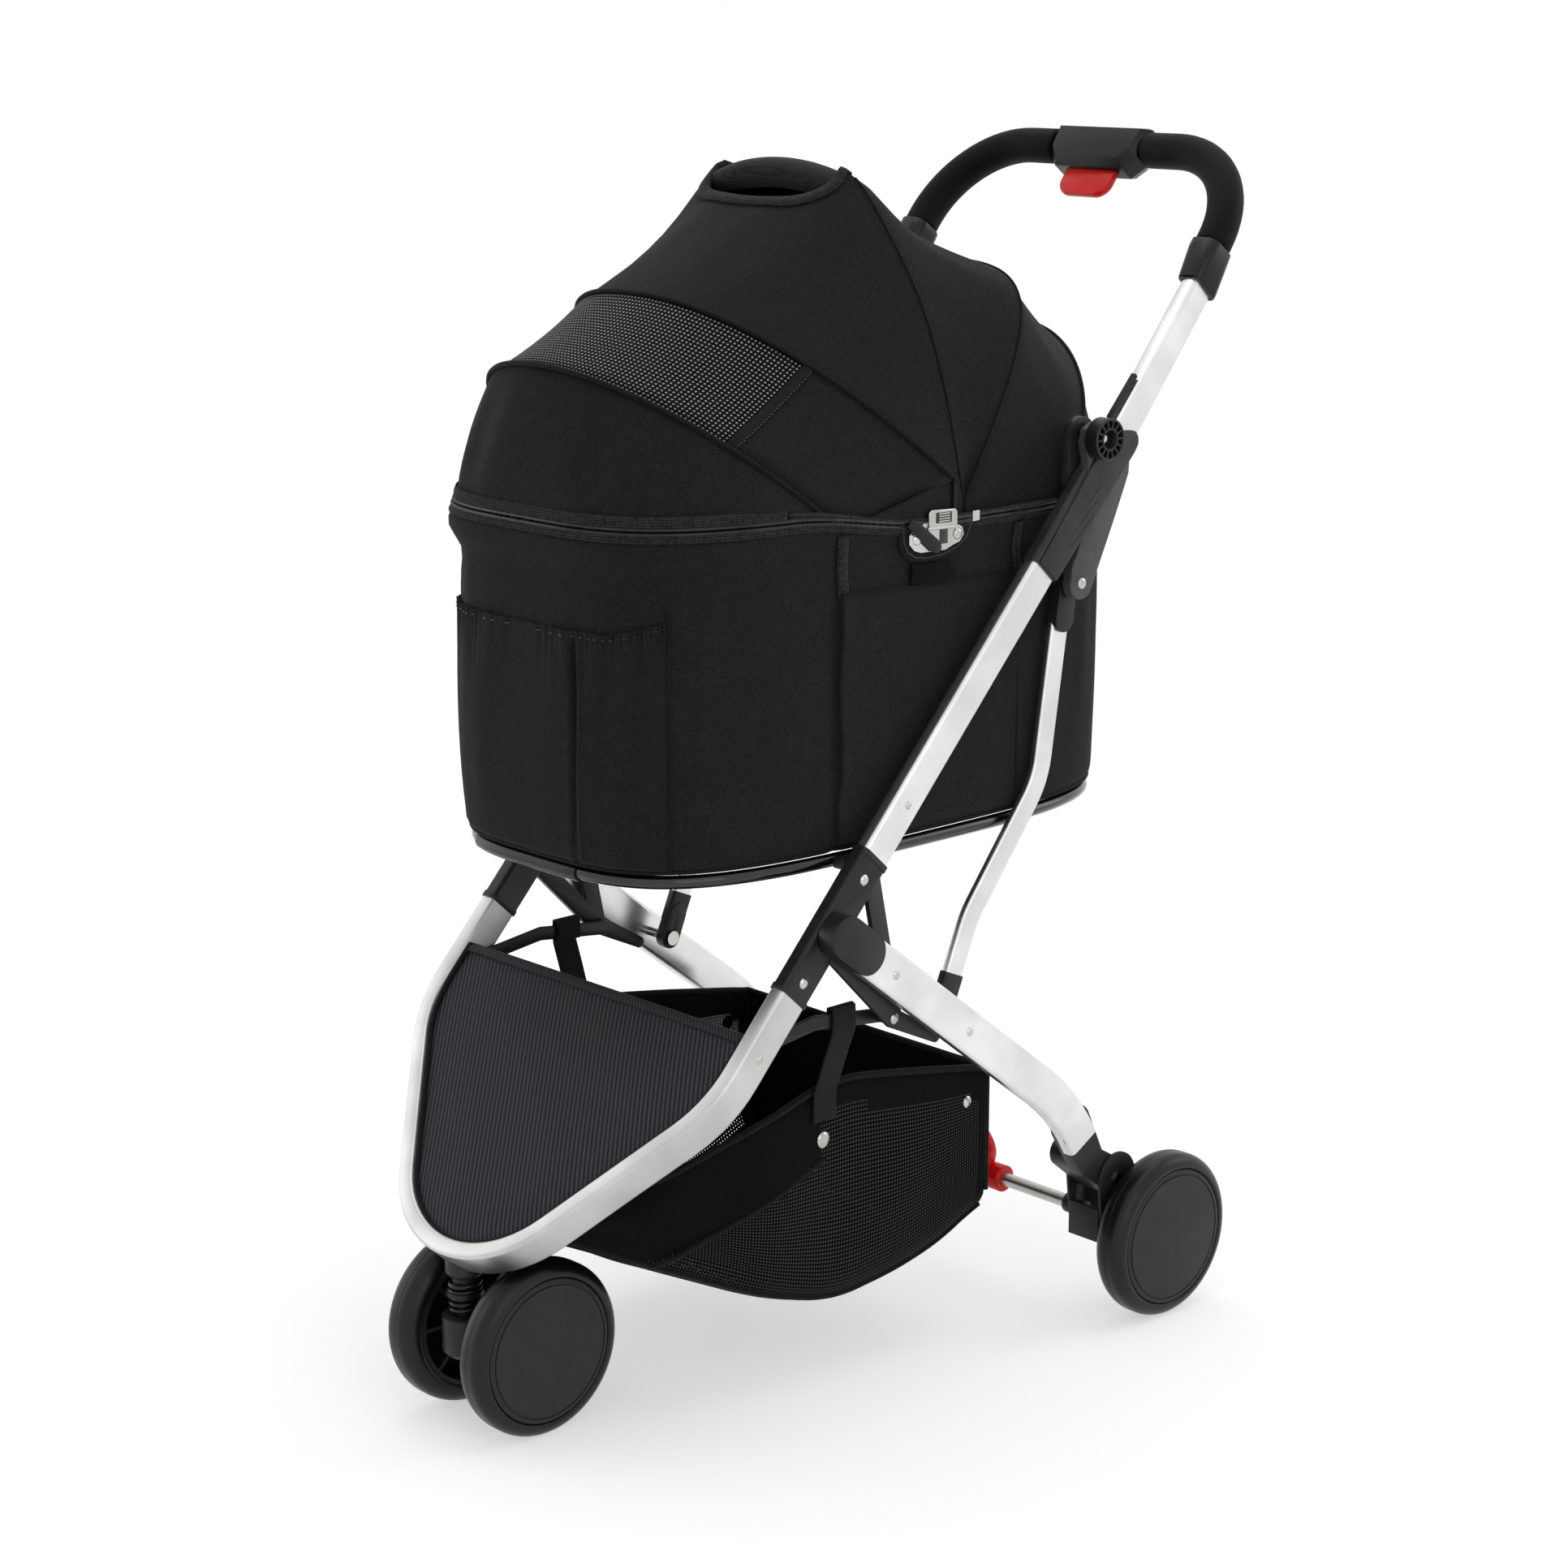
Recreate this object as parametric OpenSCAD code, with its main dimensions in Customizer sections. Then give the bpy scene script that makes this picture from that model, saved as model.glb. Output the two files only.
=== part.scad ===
// Pet stroller: folding three-wheel frame with a lift-off carrier.
// Millimetres, Z up, the front faces -Y, the floor is z = 0.

/* [Side frame] */
// Distance from the middle plane to the middle of each side tube
side_x = 181; // [179:0.5:184]
// Width of the side tubes, seen from the side
tube_w = 30; // [26:1:32]
// Thickness of the side tubes across the stroller
tube_t = 15; // [12:0.5:15]
// Wall thickness of all frame tubes
tube_wall = 1.6; // [1.2:0.1:2.5]
// Slope of the side tubes from the floor, in degrees
slope = 47.5; // [46:0.5:49]
// Height of the lower end of each main bracket
bracket_z = 361; // [357:1:365]
// Length of each main bracket
bracket_len = 133; // [125:1:140]
// Length of each main tube from the bracket to the fold joint
main_len = 278; // [272:1:284]
// Length of each fold joint housing
housing_len = 147; // [142:1:152]
// Diameter of the round cover on each fold joint
knob_d = 34; // [28:1:38]

/* [Front loop] */
// Length of the parallel part of the loop below each bracket
loop_straight = 106; // [100:1:112]
// Angle that each side of the loop turns inwards, in degrees
loop_turn = 35; // [34:0.5:36]
// Bend radius of the front loop at its middle line
loop_r = 107; // [100:1:112]
// Thickness of the fabric front panel
panel_t = 3; // [2:0.5:5]

/* [Handle] */
// Length of the visible upper tubes between fold joint and collar
upper_len = 149; // [140:1:158]
// Width of the upper tubes, seen from the side
upper_w = 28; // [24:1:30]
// Thickness of the upper tubes across the stroller
upper_t = 17; // [14:0.5:18]
// Inward lean of the upper tubes, in degrees
handle_lean = 3.2; // [2.6:0.1:3.8]
// Slope of the grip bow from the floor, in degrees
grip_slope = 52.8; // [50:0.1:56]
// Height of the grip bow above its collars, along its slope
grip_rise = 92.5; // [90:0.5:100]
// Bend radius of the grip bow at its middle line
grip_r = 86; // [78:1:89]
// Outer diameter of the foam grip
foam_d = 31; // [28:0.5:34]
// Diameter of the steel core of the grip bow
core_d = 20; // [16:0.5:22]
// Length of the release housing in the middle of the grip
release_len = 106; // [98:1:114]
// Width of the fold trigger
trigger_w = 58; // [48:1:64]
// Travel of the fold trigger
trigger_travel = 8; // [5:0.5:9]

/* [Rear legs] */
// Distance of the leg pivot above the lower end of the bracket
pivot_up = 62; // [56:1:68]
// Gap between each rear leg and the side tube beside it
leg_gap = 3; // [2.5:0.1:3.5]
// Width of the rear legs, seen from the side
leg_w = 32; // [28:0.5:34]
// Thickness of the rear legs across the stroller
leg_t = 14; // [11:0.5:14]
// Bend radius at the knee of each rear leg
leg_r = 190; // [150:5:220]
// Width of the rear braces, seen from the side
brace_w = 15; // [12:0.5:17]
// Thickness of the rear braces across the stroller
brace_t = 8; // [6:0.5:8.5]
// Gap between each rear brace and the side tube beside it
brace_gap = 1; // [0.5:0.1:2]
// Bend radius of the rear braces
brace_r = 75; // [55:5:85]

/* [Wheels] */
// Outer diameter of all wheels
wheel_d = 145; // [142:0.2:146]
// Width of the tyres
tyre_w = 32; // [28:0.5:32]
// Diameter at which the tyres sit on their hubs
rim_d = 113; // [106:1:118]
// Diameter of all axles
axle_d = 8; // [6:0.5:10]
// Gap between each rear wheel and the leg beside it
wheel_gap = 0.5; // [0.4:0.1:2]
// Distance from the middle plane to the outer face of the front wheels
front_track = 62; // [61:0.5:66]
// Distance of the front axle behind the swivel axis
trail = 36; // [35:1:40]
// Radial gap of every shaft in its bearing
running_gap = 0.06; // [0.03:0.01:0.09]
// Travel of the front suspension
fork_travel = 1.5; // [1:0.5:1.5]

/* [Brake] */
// Diameter of the brake bar
bar_d = 12; // [10:0.5:13]
// Distance of the pedal from the middle plane
pedal_x = 40; // [20:1:60]
// Diameter of the round pedal paddle
pedal_d = 52; // [44:1:56]

/* [Basket] */
// Half width of the basket
basket_half = 150; // [142:1:154]
// Wall thickness of the basket fabric
basket_wall = 2; // [1.5:0.5:3]
// Height of the basket rim at its hanging straps
basket_rim_z = 247; // [240:1:252]
// Height of the lowest part of the basket floor
basket_floor_z = 68; // [60:1:80]
// Width of the webbing straps that carry the basket
webbing_w = 25; // [20:1:30]

/* [Carrier] */
// Gap between the carrier and the rear braces beside it
carrier_gap = 1.5; // [1:0.1:4]
// Half length of the carrier
carrier_long = 273; // [266:1:278]
// Squareness of the carrier's oval plan, 2 is an ellipse
carrier_square = 3.6; // [3:0.1:4.2]
// Height of the base ring's middle line
ring_z = 454; // [452:0.5:458]
// Diameter of the base ring tube
ring_d = 11; // [9:0.5:12]
// Height of the carrier rim, where the zip runs
rim_z = 712; // [706:1:716]
// Wall thickness of the carrier's padded fabric
carrier_wall = 3.5; // [2.5:0.5:5]
// Thickness of the mat on the carrier floor
mat_t = 15; // [8:1:25]
// Thickness of the canopy fabric
canopy_t = 2; // [1.5:0.5:3]
// Height of the canopy's crown above the rim
crown_rise = 262; // [256:1:264]
// Height of the carry handle's top above the carrier rim
carry_rise = 277; // [274:1:282]
// Diameter of the padded carry handle
carry_d = 15; // [12:1:18]

/* [Hidden] */
$fn = 48;
eps = 0.01;
gap = 0.3;
seam = 0.02;
edge = 3;

// ---- places in the side view, as [y, z] ----
wheel_r = wheel_d / 2;
axle_r = axle_d / 2;
bracket_y = -165;
along = [cos(slope), sin(slope)];
ahead = [-sin(slope), cos(slope)];
// the point t along the side tube's middle line and s in front of it
function on_tube(t, s = 0) = [bracket_y, bracket_z] + t * along + s * ahead;
housing_start = bracket_len + main_len;
housing_end = housing_start + housing_len;
upper_end = housing_end + upper_len;
fold_back = 31;
fold_ahead = tube_w / 2 + 11;
fold = on_tube(housing_end - fold_back, fold_ahead);
lever_len = 118.7;
lever_rest = -97.5;
lever_end = fold + lever_len * [cos(lever_rest), sin(lever_rest)];
leg_pivot = on_tube(pivot_up);
leg_slope = 37.6;
foot_slope = 60.5;
function on_leg(t) = leg_pivot + t * [cos(leg_slope), -sin(leg_slope)];
leg_knee = on_leg(329);
leg_foot = leg_knee + 42 * [cos(foot_slope), -sin(foot_slope)];
brace_foot = on_leg(174);
cheek_hub = leg_foot + [45, -43];
rear_axle = [cheek_hub[0] + 36, wheel_r];
bar_place = cheek_hub + [-5, -35];
nose_depth = loop_straight + side_x / tan(loop_turn)
    - loop_r * (1 / sin(loop_turn) - 1);
nose = on_tube(-nose_depth);
swivel_y = nose[0] + 11;
front_axle = [swivel_y + trail, wheel_r];
grip_foot = on_tube(upper_end) + [17, 29];
grip_top = grip_foot + grip_rise * [cos(grip_slope), sin(grip_slope)];
grip_x = round(10 * (side_x - (upper_len + 22) * sin(handle_lean))) / 10;
front_reach = front_axle[0] - wheel_r;
rear_reach = grip_top[0] + foam_d / 2;
y_shift = -(front_reach + rear_reach) / 2;

// ---- places across the stroller, from the middle plane ----
tube_in = side_x - tube_t / 2;
tube_out = side_x + tube_t / 2;
leg_x = tube_out + leg_gap + leg_t / 2;
leg_in = leg_x - leg_t / 2;
leg_out = leg_x + leg_t / 2;
rear_track = leg_out + wheel_gap + tyre_w;
brace_x = tube_in - brace_gap - brace_t / 2;
carrier_half = brace_x - brace_t / 2 - carrier_gap;
cheek_t = 2.4;
cheek_in = brace_x - brace_t / 2;
cheek_out = rear_track - tyre_w - 3;

// ---- shapes used by several pieces ----
module rounded(w, h, r) {
    square([w - 2 * r, h], center = true);
    square([w, h - 2 * r], center = true);
    for (x = [-1, 1], y = [-1, 1])
        translate([x * (w / 2 - r), y * (h / 2 - r)]) circle(r);
}

function heading(p, q) = atan2(q[1] - p[1], q[0] - p[0]);
function wrap(a) = a > 180 ? a - 360 : a < -180 ? a + 360 : a;
function turn_at(pts, i) =
    i <= 0 || i >= len(pts) - 1 ? 0
    : wrap(heading(pts[i], pts[i + 1]) - heading(pts[i - 1], pts[i]));
function cut_at(pts, i, r) = r * tan(abs(turn_at(pts, i)) / 2);

// sweeps a 2-D section along a polyline in the XY plane, its corners bent to radius r
module bent(pts, r) {
    for (i = [0 : len(pts) - 2]) {
        a = heading(pts[i], pts[i + 1]);
        run = norm(pts[i + 1] - pts[i]) - cut_at(pts, i, r) - cut_at(pts, i + 1, r);
        if (run > eps)
            translate(pts[i] + cut_at(pts, i, r) * [cos(a), sin(a)])
                rotate([0, 0, a]) rotate([90, 0, 90])
                    linear_extrude(run) children();
    }
    for (i = [1 : 1 : len(pts) - 2]) {
        a = heading(pts[i - 1], pts[i]);
        turn = turn_at(pts, i);
        side = turn > 0 ? 1 : -1;
        start = pts[i] - cut_at(pts, i, r) * [cos(a), sin(a)];
        translate(start + side * r * [-sin(a), cos(a)])
            rotate([0, 0, turn > 0 ? a - 90 : a + 90 + turn])
                rotate_extrude(angle = abs(turn), $fn = 96)
                    translate([r, 0]) children();
    }
}

// the same path as points with their headings, its bends in n steps
function bent_path(pts, r, n = 10) = concat(
    [[pts[0], heading(pts[0], pts[1])]],
    [for (i = [1 : 1 : len(pts) - 2])
        let (a = heading(pts[i - 1], pts[i]), turn = turn_at(pts, i), side = turn > 0 ? 1 : -1,
             start = pts[i] - cut_at(pts, i, r) * [cos(a), sin(a)],
             middle = start + side * r * [-sin(a), cos(a)])
        for (k = [0 : n]) let (b = a + turn * k / n)
            [middle - side * r * [-sin(b), cos(b)], b]],
    [[pts[len(pts) - 1], heading(pts[len(pts) - 2], pts[len(pts) - 1])]]);
function bent_edge(pts, r, d) =
    [for (e = bent_path(pts, r)) e[0] + d * [-sin(e[1]), cos(e[1])]];
// a flat strip of width w and thickness t along a bent path in the XY plane
module strip(pts, r, w, t) {
    left = bent_edge(pts, r, w / 2);
    right = bent_edge(pts, r, -w / 2);
    linear_extrude(t, center = true)
        polygon(concat(left, [for (i = [len(right) - 1 : -1 : 0]) right[i]]));
}
// a bar along a bent path, its long edges eased by e
module bar(pts, r, w, t, e = 0) {
    strip(pts, r, w, t - 2 * e);
    if (e > 0) strip(pts, r, w - 2 * e, t);
}

// stands a shape drawn in the XY plane up in the YZ plane
module upright() { rotate([90, 0, 90]) children(); }
// moves a shape from the XY plane into the plane of the side tubes
module in_tube_plane() {
    translate([0, bracket_y, bracket_z]) rotate([slope, 0, 0]) children();
}
// moves a shape from the XY plane into the plane of the grip bow
module in_grip_plane() {
    translate([0, grip_foot[0], grip_foot[1]]) rotate([grip_slope, 0, 0]) children();
}
// draws a shape on the left (+X) side for 1 and on the right side for -1
module on_side(s) { if (s > 0) children(); else mirror([1, 0, 0]) children(); }
module both_sides() { children(); mirror([1, 0, 0]) children(); }

// a solid cylinder along X from x0 to x1 at p = [y, z]
module rod(p, r, x0, x1) {
    translate([x0, p[0], p[1]]) rotate([0, 90, 0]) cylinder(r = r, h = x1 - x0);
}
// a domed rivet head on the outer face x at p = [y, z]
module rivet(p, x, r = 4.2, h = 2) {
    ball = (r * r + h * h) / (2 * h);
    translate([x, p[0], p[1]]) rotate([0, 90, 0]) intersection() {
        cylinder(r = r, h = h);
        translate([0, 0, h - ball]) sphere(ball);
    }
}
// a bar with round ends between p and q = [y, z], from x0 to x1
module link(p, q, rp, rq, x0, x1) {
    a = heading(p, q);
    lean = asin((rp - rq) / norm(q - p));
    translate([x0, 0, 0]) upright() linear_extrude(x1 - x0) {
        translate(p) circle(rp);
        translate(q) circle(rq);
        polygon([for (e = [[p, rp, 1], [q, rq, 1], [q, rq, -1], [p, rp, -1]])
            e[0] + e[1] * [cos(a + e[2] * (90 - lean)), sin(a + e[2] * (90 - lean))]]);
    }
}

// ---- front frame ----
// the middle line of the front loop, its ends past the brackets' faces by over
function loop_points(over = 0) = [[side_x, over], [side_x, -loop_straight],
    [0, -loop_straight - side_x / tan(loop_turn)],
    [-side_x, -loop_straight], [-side_x, over]];
module loop_solid(inset = 0, over = 0) {
    bar(loop_points(over), loop_r, tube_t - 2 * inset, tube_w - 2 * inset,
        inset > 0 ? 0 : edge);
}
// a straight run of section children along the left side tube, from t0 to t1
module along_tube(t0, t1) {
    in_tube_plane() translate([side_x, t0, 0]) rotate([-90, 0, 0])
        linear_extrude(t1 - t0) children();
}

module front_loop() {
    color("#e4e4e2") in_tube_plane() difference() {
        loop_solid();
        loop_solid(tube_wall, 1);
    }
}

panel_top = 52;
module front_panel() {
    color("#38363a") in_tube_plane() translate([0, 0, tube_w / 2 - 6])
        linear_extrude(panel_t) intersection() {
            polygon(bent_edge(loop_points(), loop_r, -tube_t / 2 - seam));
            translate([-side_x, -2 * nose_depth])
                square([2 * side_x, 2 * nose_depth - panel_top]);
        }
}

rail_pin = leg_pivot + [70, -85];
rail_front = on_tube(-54, 0);
gusset_x = side_x + 1;
module bracket(s) {
    stop = brace_foot + [-21, -4];
    color("#2b292b") on_side(s) {
        along_tube(0, bracket_len) rounded(tube_t, tube_w + 2, 4);
        for (t = [0, bracket_len - 5])
            along_tube(t, t + 5) rounded(tube_t + 2, tube_w + 4, 5);
        link(on_tube(bracket_len - 16, -10), rail_pin, 8, 8, gusset_x, gusset_x + 5);
        link(on_tube(52, -6), rail_pin, 8, 8, gusset_x, gusset_x + 5);
        link(rail_pin, stop, 8, 5, gusset_x, gusset_x + 5);
        rod(rail_pin, 6, tube_in - gap, gusset_x + eps);
        translate([carrier_half - 2 + gap / 3, on_tube(bracket_len)[0] - 22, ring_z - 4])
            cube([tube_in + eps - carrier_half + 2 - gap / 3, 28, 8]);
        rod(leg_pivot, 9, tube_out - eps, leg_in - 1.4);
        rod(leg_pivot, 5, tube_out - eps, leg_out - 3);
    }
}

module main_tube(s) {
    color("#e4e4e2") on_side(s) difference() {
        along_tube(bracket_len + seam, housing_start - seam)
            rounded(tube_t, tube_w, tube_t / 2 - 1.5);
        along_tube(bracket_len - 1, housing_start + 1)
            rounded(tube_t - 2 * tube_wall, tube_w - 2 * tube_wall, tube_t / 2 - 1.5 - tube_wall);
    }
}

housing_in = tube_in - 1.5;
housing_out = tube_out + 1.5;
ear_in = housing_in - 7;
ear_r = 16;
// radius about the fold pin within which the housing stays, so that the lever's arm passes
fold_clear = fold_ahead + tube_w / 2 + 4.5;
lever_foot = on_tube(housing_end + 14, 4);
module joint_housing(s) {
    color("#3c393a") on_side(s) difference() {
        union() {
            along_tube(housing_start, housing_end)
                rounded(tube_t + 3, tube_w + 4, 7);
            link(fold, on_tube(housing_end - 64, 6), ear_r, 9, ear_in, housing_in + 0.2);
        }
        link(fold, lever_foot, ear_r + 0.6, 12.6, housing_in + 0.2, housing_out + 1);
        difference() {
            along_tube(housing_end - fold_back, housing_end + 1)
                square([2 * tube_t, 2 * tube_w + 10], center = true);
            rod(fold, fold_clear, housing_in - 8, housing_out + 8);
        }
        rod(fold, 5, ear_in - 1, housing_out + 1);
        for (k = [0, 1])
            in_tube_plane()
                translate([housing_out - 0.7, housing_start + 34 + 14 * k, 4 - 10 * k])
                    cube([2, 44, 1.6]);
    }
}

// pins of the fold joints with their round covers and inner posts
knob_in = housing_out + 1;
knob_out = leg_out - 1.5;
module joint_knobs() {
    pockets = 14;
    color("#1f1e1f") both_sides() {
        rod(fold, 5, ear_in - 7, knob_in + 1);
        rod(fold, 9, ear_in - 7, ear_in);
        difference() {
            rod(fold, knob_d / 2, knob_in, knob_out);
            rod(fold, knob_d / 4.5, knob_out - 5, knob_out + 1);
            for (i = [0 : pockets - 1]) let (a = i * 360 / pockets)
                rod(fold + knob_d * 0.37 * [cos(a), sin(a)], knob_d / 18,
                    knob_out - 3, knob_out + 1);
        }
    }
}

rail_t = 3;
rail_x = tube_in - gap - rail_t;
rail_mid = [(rail_pin[0] + rail_front[0]) / 2, rail_pin[1] + 9];
module basket_rails() {
    color("#222122") both_sides() {
        link(rail_front, rail_mid, 6, 6, rail_x, rail_x + rail_t);
        link(rail_mid, rail_pin, 6, 6, rail_x, rail_x + rail_t);
    }
}

// side view of the basket as [y, z], moved in by d, with its mouth raised by lift
function basket_side(d = 0, lift = 0) = [
    [95 - d, 112 + d], [86 - d, basket_rim_z - 14 + lift], [-5, basket_rim_z - 2 + lift],
    [-105, basket_rim_z + lift], [-165, basket_rim_z - 12 + lift],
    [-245, basket_rim_z - 34 + lift], [-320 + d, basket_rim_z - 62 + lift],
    [-325 + d, 172 + d], [-250, 138 + d], [-80, basket_floor_z + d], [0, basket_floor_z + 8 + d]];
module basket_form(d = 0, lift = 0) {
    half = basket_half - d;
    intersection() {
        translate([-200, 0, 0]) upright() linear_extrude(400) polygon(basket_side(d, lift));
        linear_extrude(500) polygon([
            [half, 100], [half, -160], [half - 24, -250], [58 - d, -330],
            [d - 58, -330], [24 - half, -250], [-half, -160], [-half, 100]]);
    }
}
module basket() {
    color("#232224") difference() {
        basket_form();
        basket_form(basket_wall, 60);
    }
}

strap_y = -98;
snap_z = basket_rim_z - 26;
strap_t = 2;
module basket_straps() {
    rail = rail_x + rail_t / 2;
    side = rail_t / 2 + strap_t;
    rail_z = rail_mid[1] - 3.5;
    color("#1d1c1e") both_sides() difference() {
        translate([0, strap_y + webbing_w / 2, 0]) rotate([90, 0, 0]) linear_extrude(webbing_w)
            polygon([[rail + side, rail_z + 8], [rail + side, rail_z - 6],
                [basket_half + strap_t, basket_rim_z + 3], [basket_half + strap_t, snap_z - 14],
                [basket_half, snap_z - 14], [basket_half, basket_rim_z + 4],
                [rail - side, rail_z - 6], [rail - side, rail_z + 8]]);
        basket_rails();
    }
}

module basket_snaps() {
    color("#c9c9c7") both_sides() {
        rivet([strap_y, snap_z], basket_half + strap_t, 7, 2.5);
        rivet([70, basket_rim_z - 34], basket_half, 6, 2.5);
    }
}

module frame_rivets() {
    color("#d8d8d6") both_sides() {
        for (t = [16, bracket_len - 21]) rivet(on_tube(t), tube_out, 4.5, 2);
        for (t = [-54, 183]) rivet(on_tube(t), tube_out, 3.6, 1.8);
        rivet(rail_pin, gusset_x + 5, 4.5, 2);
    }
}

socket_top = nose[1] - 3;
socket_low = 118;
stem_r = 8;
module stem_socket() {
    color("#1f1e1f") difference() {
        translate([0, swivel_y, socket_low]) cylinder(r = 17, h = socket_top - socket_low);
        translate([0, swivel_y, socket_low - 1])
            cylinder(r = stem_r + running_gap, h = 17);
        in_tube_plane() loop_solid();
    }
}

// plan outline of the carrier, moved in by d
carrier_y = 5;
function squared(v) = sign(v) * pow(abs(v), 2 / carrier_square);
function carrier_plan(d = 0, count = 72) = [for (i = [0 : count - 1])
    let (a = i * 360 / count)
    [(carrier_half - d) * squared(cos(a)),
     carrier_y + (carrier_long - d) * squared(sin(a))]];

// the ring that carries the tub
ring_in = 2 + ring_d / 2;
module base_ring() {
    count = 72;
    sides = 10;
    path = carrier_plan(ring_in, count);
    points = [for (i = [0 : count - 1])
        let (run = path[(i + 1) % count] - path[(i + count - 1) % count],
             out = [run[1], -run[0]] / norm(run))
        for (j = [0 : sides - 1]) let (a = j * 360 / sides)
            [path[i][0] + ring_d / 2 * cos(a) * out[0],
             path[i][1] + ring_d / 2 * cos(a) * out[1], ring_z + ring_d / 2 * sin(a)]];
    faces = [for (i = [0 : count - 1], j = [0 : sides - 1])
        let (k = (j + 1) % sides, m = (i + 1) % count)
        for (f = [[i * sides + j, i * sides + k, m * sides + k],
                  [i * sides + j, m * sides + k, m * sides + j]]) f];
    color("#161616") polyhedron(points, faces, convexity = 4);
}

// ---- handle ----
// moves a shape to the foot of the left upper tube, with local Z along the tube
module along_upper() {
    in_tube_plane() translate([side_x, housing_end, 0]) rotate([0, 0, handle_lean])
        rotate([-90, 0, 0]) children();
}
module upper_solid(inset = 0) {
    along_upper() translate([0, 0, 6]) linear_extrude(upper_len - 6)
        rounded(upper_t - 2 * inset, upper_w - 2 * inset, upper_t / 2 - 1 - inset);
}
module upper_tube(s) {
    color("#e4e4e2") on_side(s) difference() {
        upper_solid();
        along_upper() linear_extrude(upper_len + 1)
            rounded(upper_t - 2 * tube_wall, upper_w - 2 * tube_wall, upper_t / 2 - 1 - tube_wall);
    }
}

lever_in = housing_in + 0.6;
lever_out = housing_out - 1;
arm_in = tube_in + 3.5;
module lever(s) {
    arm_top = on_tube(housing_end + 10, -tube_w / 2 - 13);
    color("#3a3738") on_side(s) difference() {
        union() {
            along_tube(housing_end + 0.5, housing_end + 30)
                rounded(tube_t + 4, tube_w + 4, 7);
            link(fold, lever_foot, ear_r, 12, lever_in, lever_out);
            link(arm_top, on_tube(housing_end + 16, -6), 9.5, 11, arm_in, lever_out);
            link(arm_top, lever_end, 9.5, 15, arm_in, lever_out);
        }
        rod(fold, 5 + running_gap, lever_in - 1, lever_out + 1);
        upper_solid();
    }
}

collar_len = 18;
module collars() {
    color("#1d1c1d") both_sides() difference() {
        hull() {
            along_upper() translate([0, 0, upper_len - collar_len])
                linear_extrude(collar_len) rounded(upper_t + 7, upper_w + 6, 7, $fn = 32);
            in_grip_plane() translate([grip_x, -8, 0]) rotate([-90, 0, 0])
                linear_extrude(8) rounded(foam_d - 1, foam_d + 1, 10, $fn = 32);
        }
        upper_solid();
        grip_bow(core_d / 2);
    }
}

grip_points = [[grip_x, -22], [grip_x, grip_rise], [-grip_x, grip_rise], [-grip_x, -22]];
module grip_bow(r, from = 0) {
    in_grip_plane() bent([[grip_x, from - 22], grip_points[1], grip_points[2],
        [-grip_x, from - 22]], grip_r) circle(r);
}
module grip_core() {
    color("#8d8d8d") grip_bow(core_d / 2);
}
module foam_grip() {
    color("#191819") difference() {
        grip_bow(foam_d / 2, 22);
        grip_bow(core_d / 2);
        in_grip_plane() translate([-release_len / 2, grip_rise - foam_d, -foam_d])
            cube([release_len, 2 * foam_d, 2 * foam_d]);
    }
}

release_drop = 26;
trigger_t = 7;
module release_housing() {
    color("#242223") in_grip_plane() translate([0, grip_rise, 0]) difference() {
        union() {
            rotate([0, 90, 0]) cylinder(d = foam_d, h = release_len, center = true);
            rotate([0, 90, 0]) linear_extrude(release_len - 20, center = true)
                polygon([[-13, 0], [-10, -release_drop], [10, -release_drop], [13, 0]]);
        }
        rotate([0, 90, 0]) cylinder(d = core_d, h = release_len + 2, center = true);
        translate([-trigger_w / 2 - gap, -release_drop - 1, -trigger_t / 2 - gap])
            cube([trigger_w + 2 * gap, release_drop + 0.2 - core_d / 2, trigger_t + 2 * gap]);
    }
}

module fold_trigger() {
    reach = 24;
    inside = release_drop - core_d / 2 - trigger_travel - 1.2;
    color("#d9322b") in_grip_plane() translate([0, grip_rise - release_drop, 0])
        translate([0, 0, -trigger_t / 2]) linear_extrude(trigger_t) {
            translate([-trigger_w / 2, 14 - reach]) square([trigger_w, reach - 14 + inside]);
            translate([14 - trigger_w / 2, -reach]) square([trigger_w - 28, 15]);
            for (x = [-1, 1]) translate([x * (trigger_w / 2 - 14), 14 - reach]) circle(14);
        }
}

module release_cable() {
    r = 2.2;
    start = on_tube(housing_end + 31, tube_w / 2 + 4);
    finish = on_tube(housing_end + 92, tube_w / 2 + 5);
    color("#1a1a1a") both_sides() {
        link(start, finish, r, r, side_x - 6, side_x - 2);
        for (t = [36, 86])
            link(on_tube(housing_end + t, tube_w / 2 + 3.5),
                on_tube(housing_end + t, upper_w / 2 + 2.1), 2, 2, side_x - 5, side_x - 3);
    }
}

// ---- rear legs ----
leg_start = 20;
// the leg's middle line, its ends past the tube's own ends by over
function leg_points(over = 0) = [on_leg(leg_start - over), leg_knee,
    leg_foot + over * [cos(foot_slope), -sin(foot_slope)]];
module leg_solid(inset = 0, over = 0) {
    translate([leg_x, 0, 0]) upright()
        bar(leg_points(over), leg_r, leg_w - 2 * inset, leg_t - 2 * inset);
}
module rear_leg(s) {
    color("#e4e4e2") on_side(s) difference() {
        leg_solid();
        leg_solid(tube_wall, 1);
    }
}

module leg_caps() {
    color("#1b1a1b") both_sides() difference() {
        link(leg_pivot, on_leg(28), leg_w / 2 + 1.5, leg_w / 2 + 1.5,
            leg_in - 1, leg_out + 1.5);
        leg_solid();
        rod(leg_pivot, 5 + running_gap, leg_in - 2, leg_out - 2);
    }
}

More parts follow.
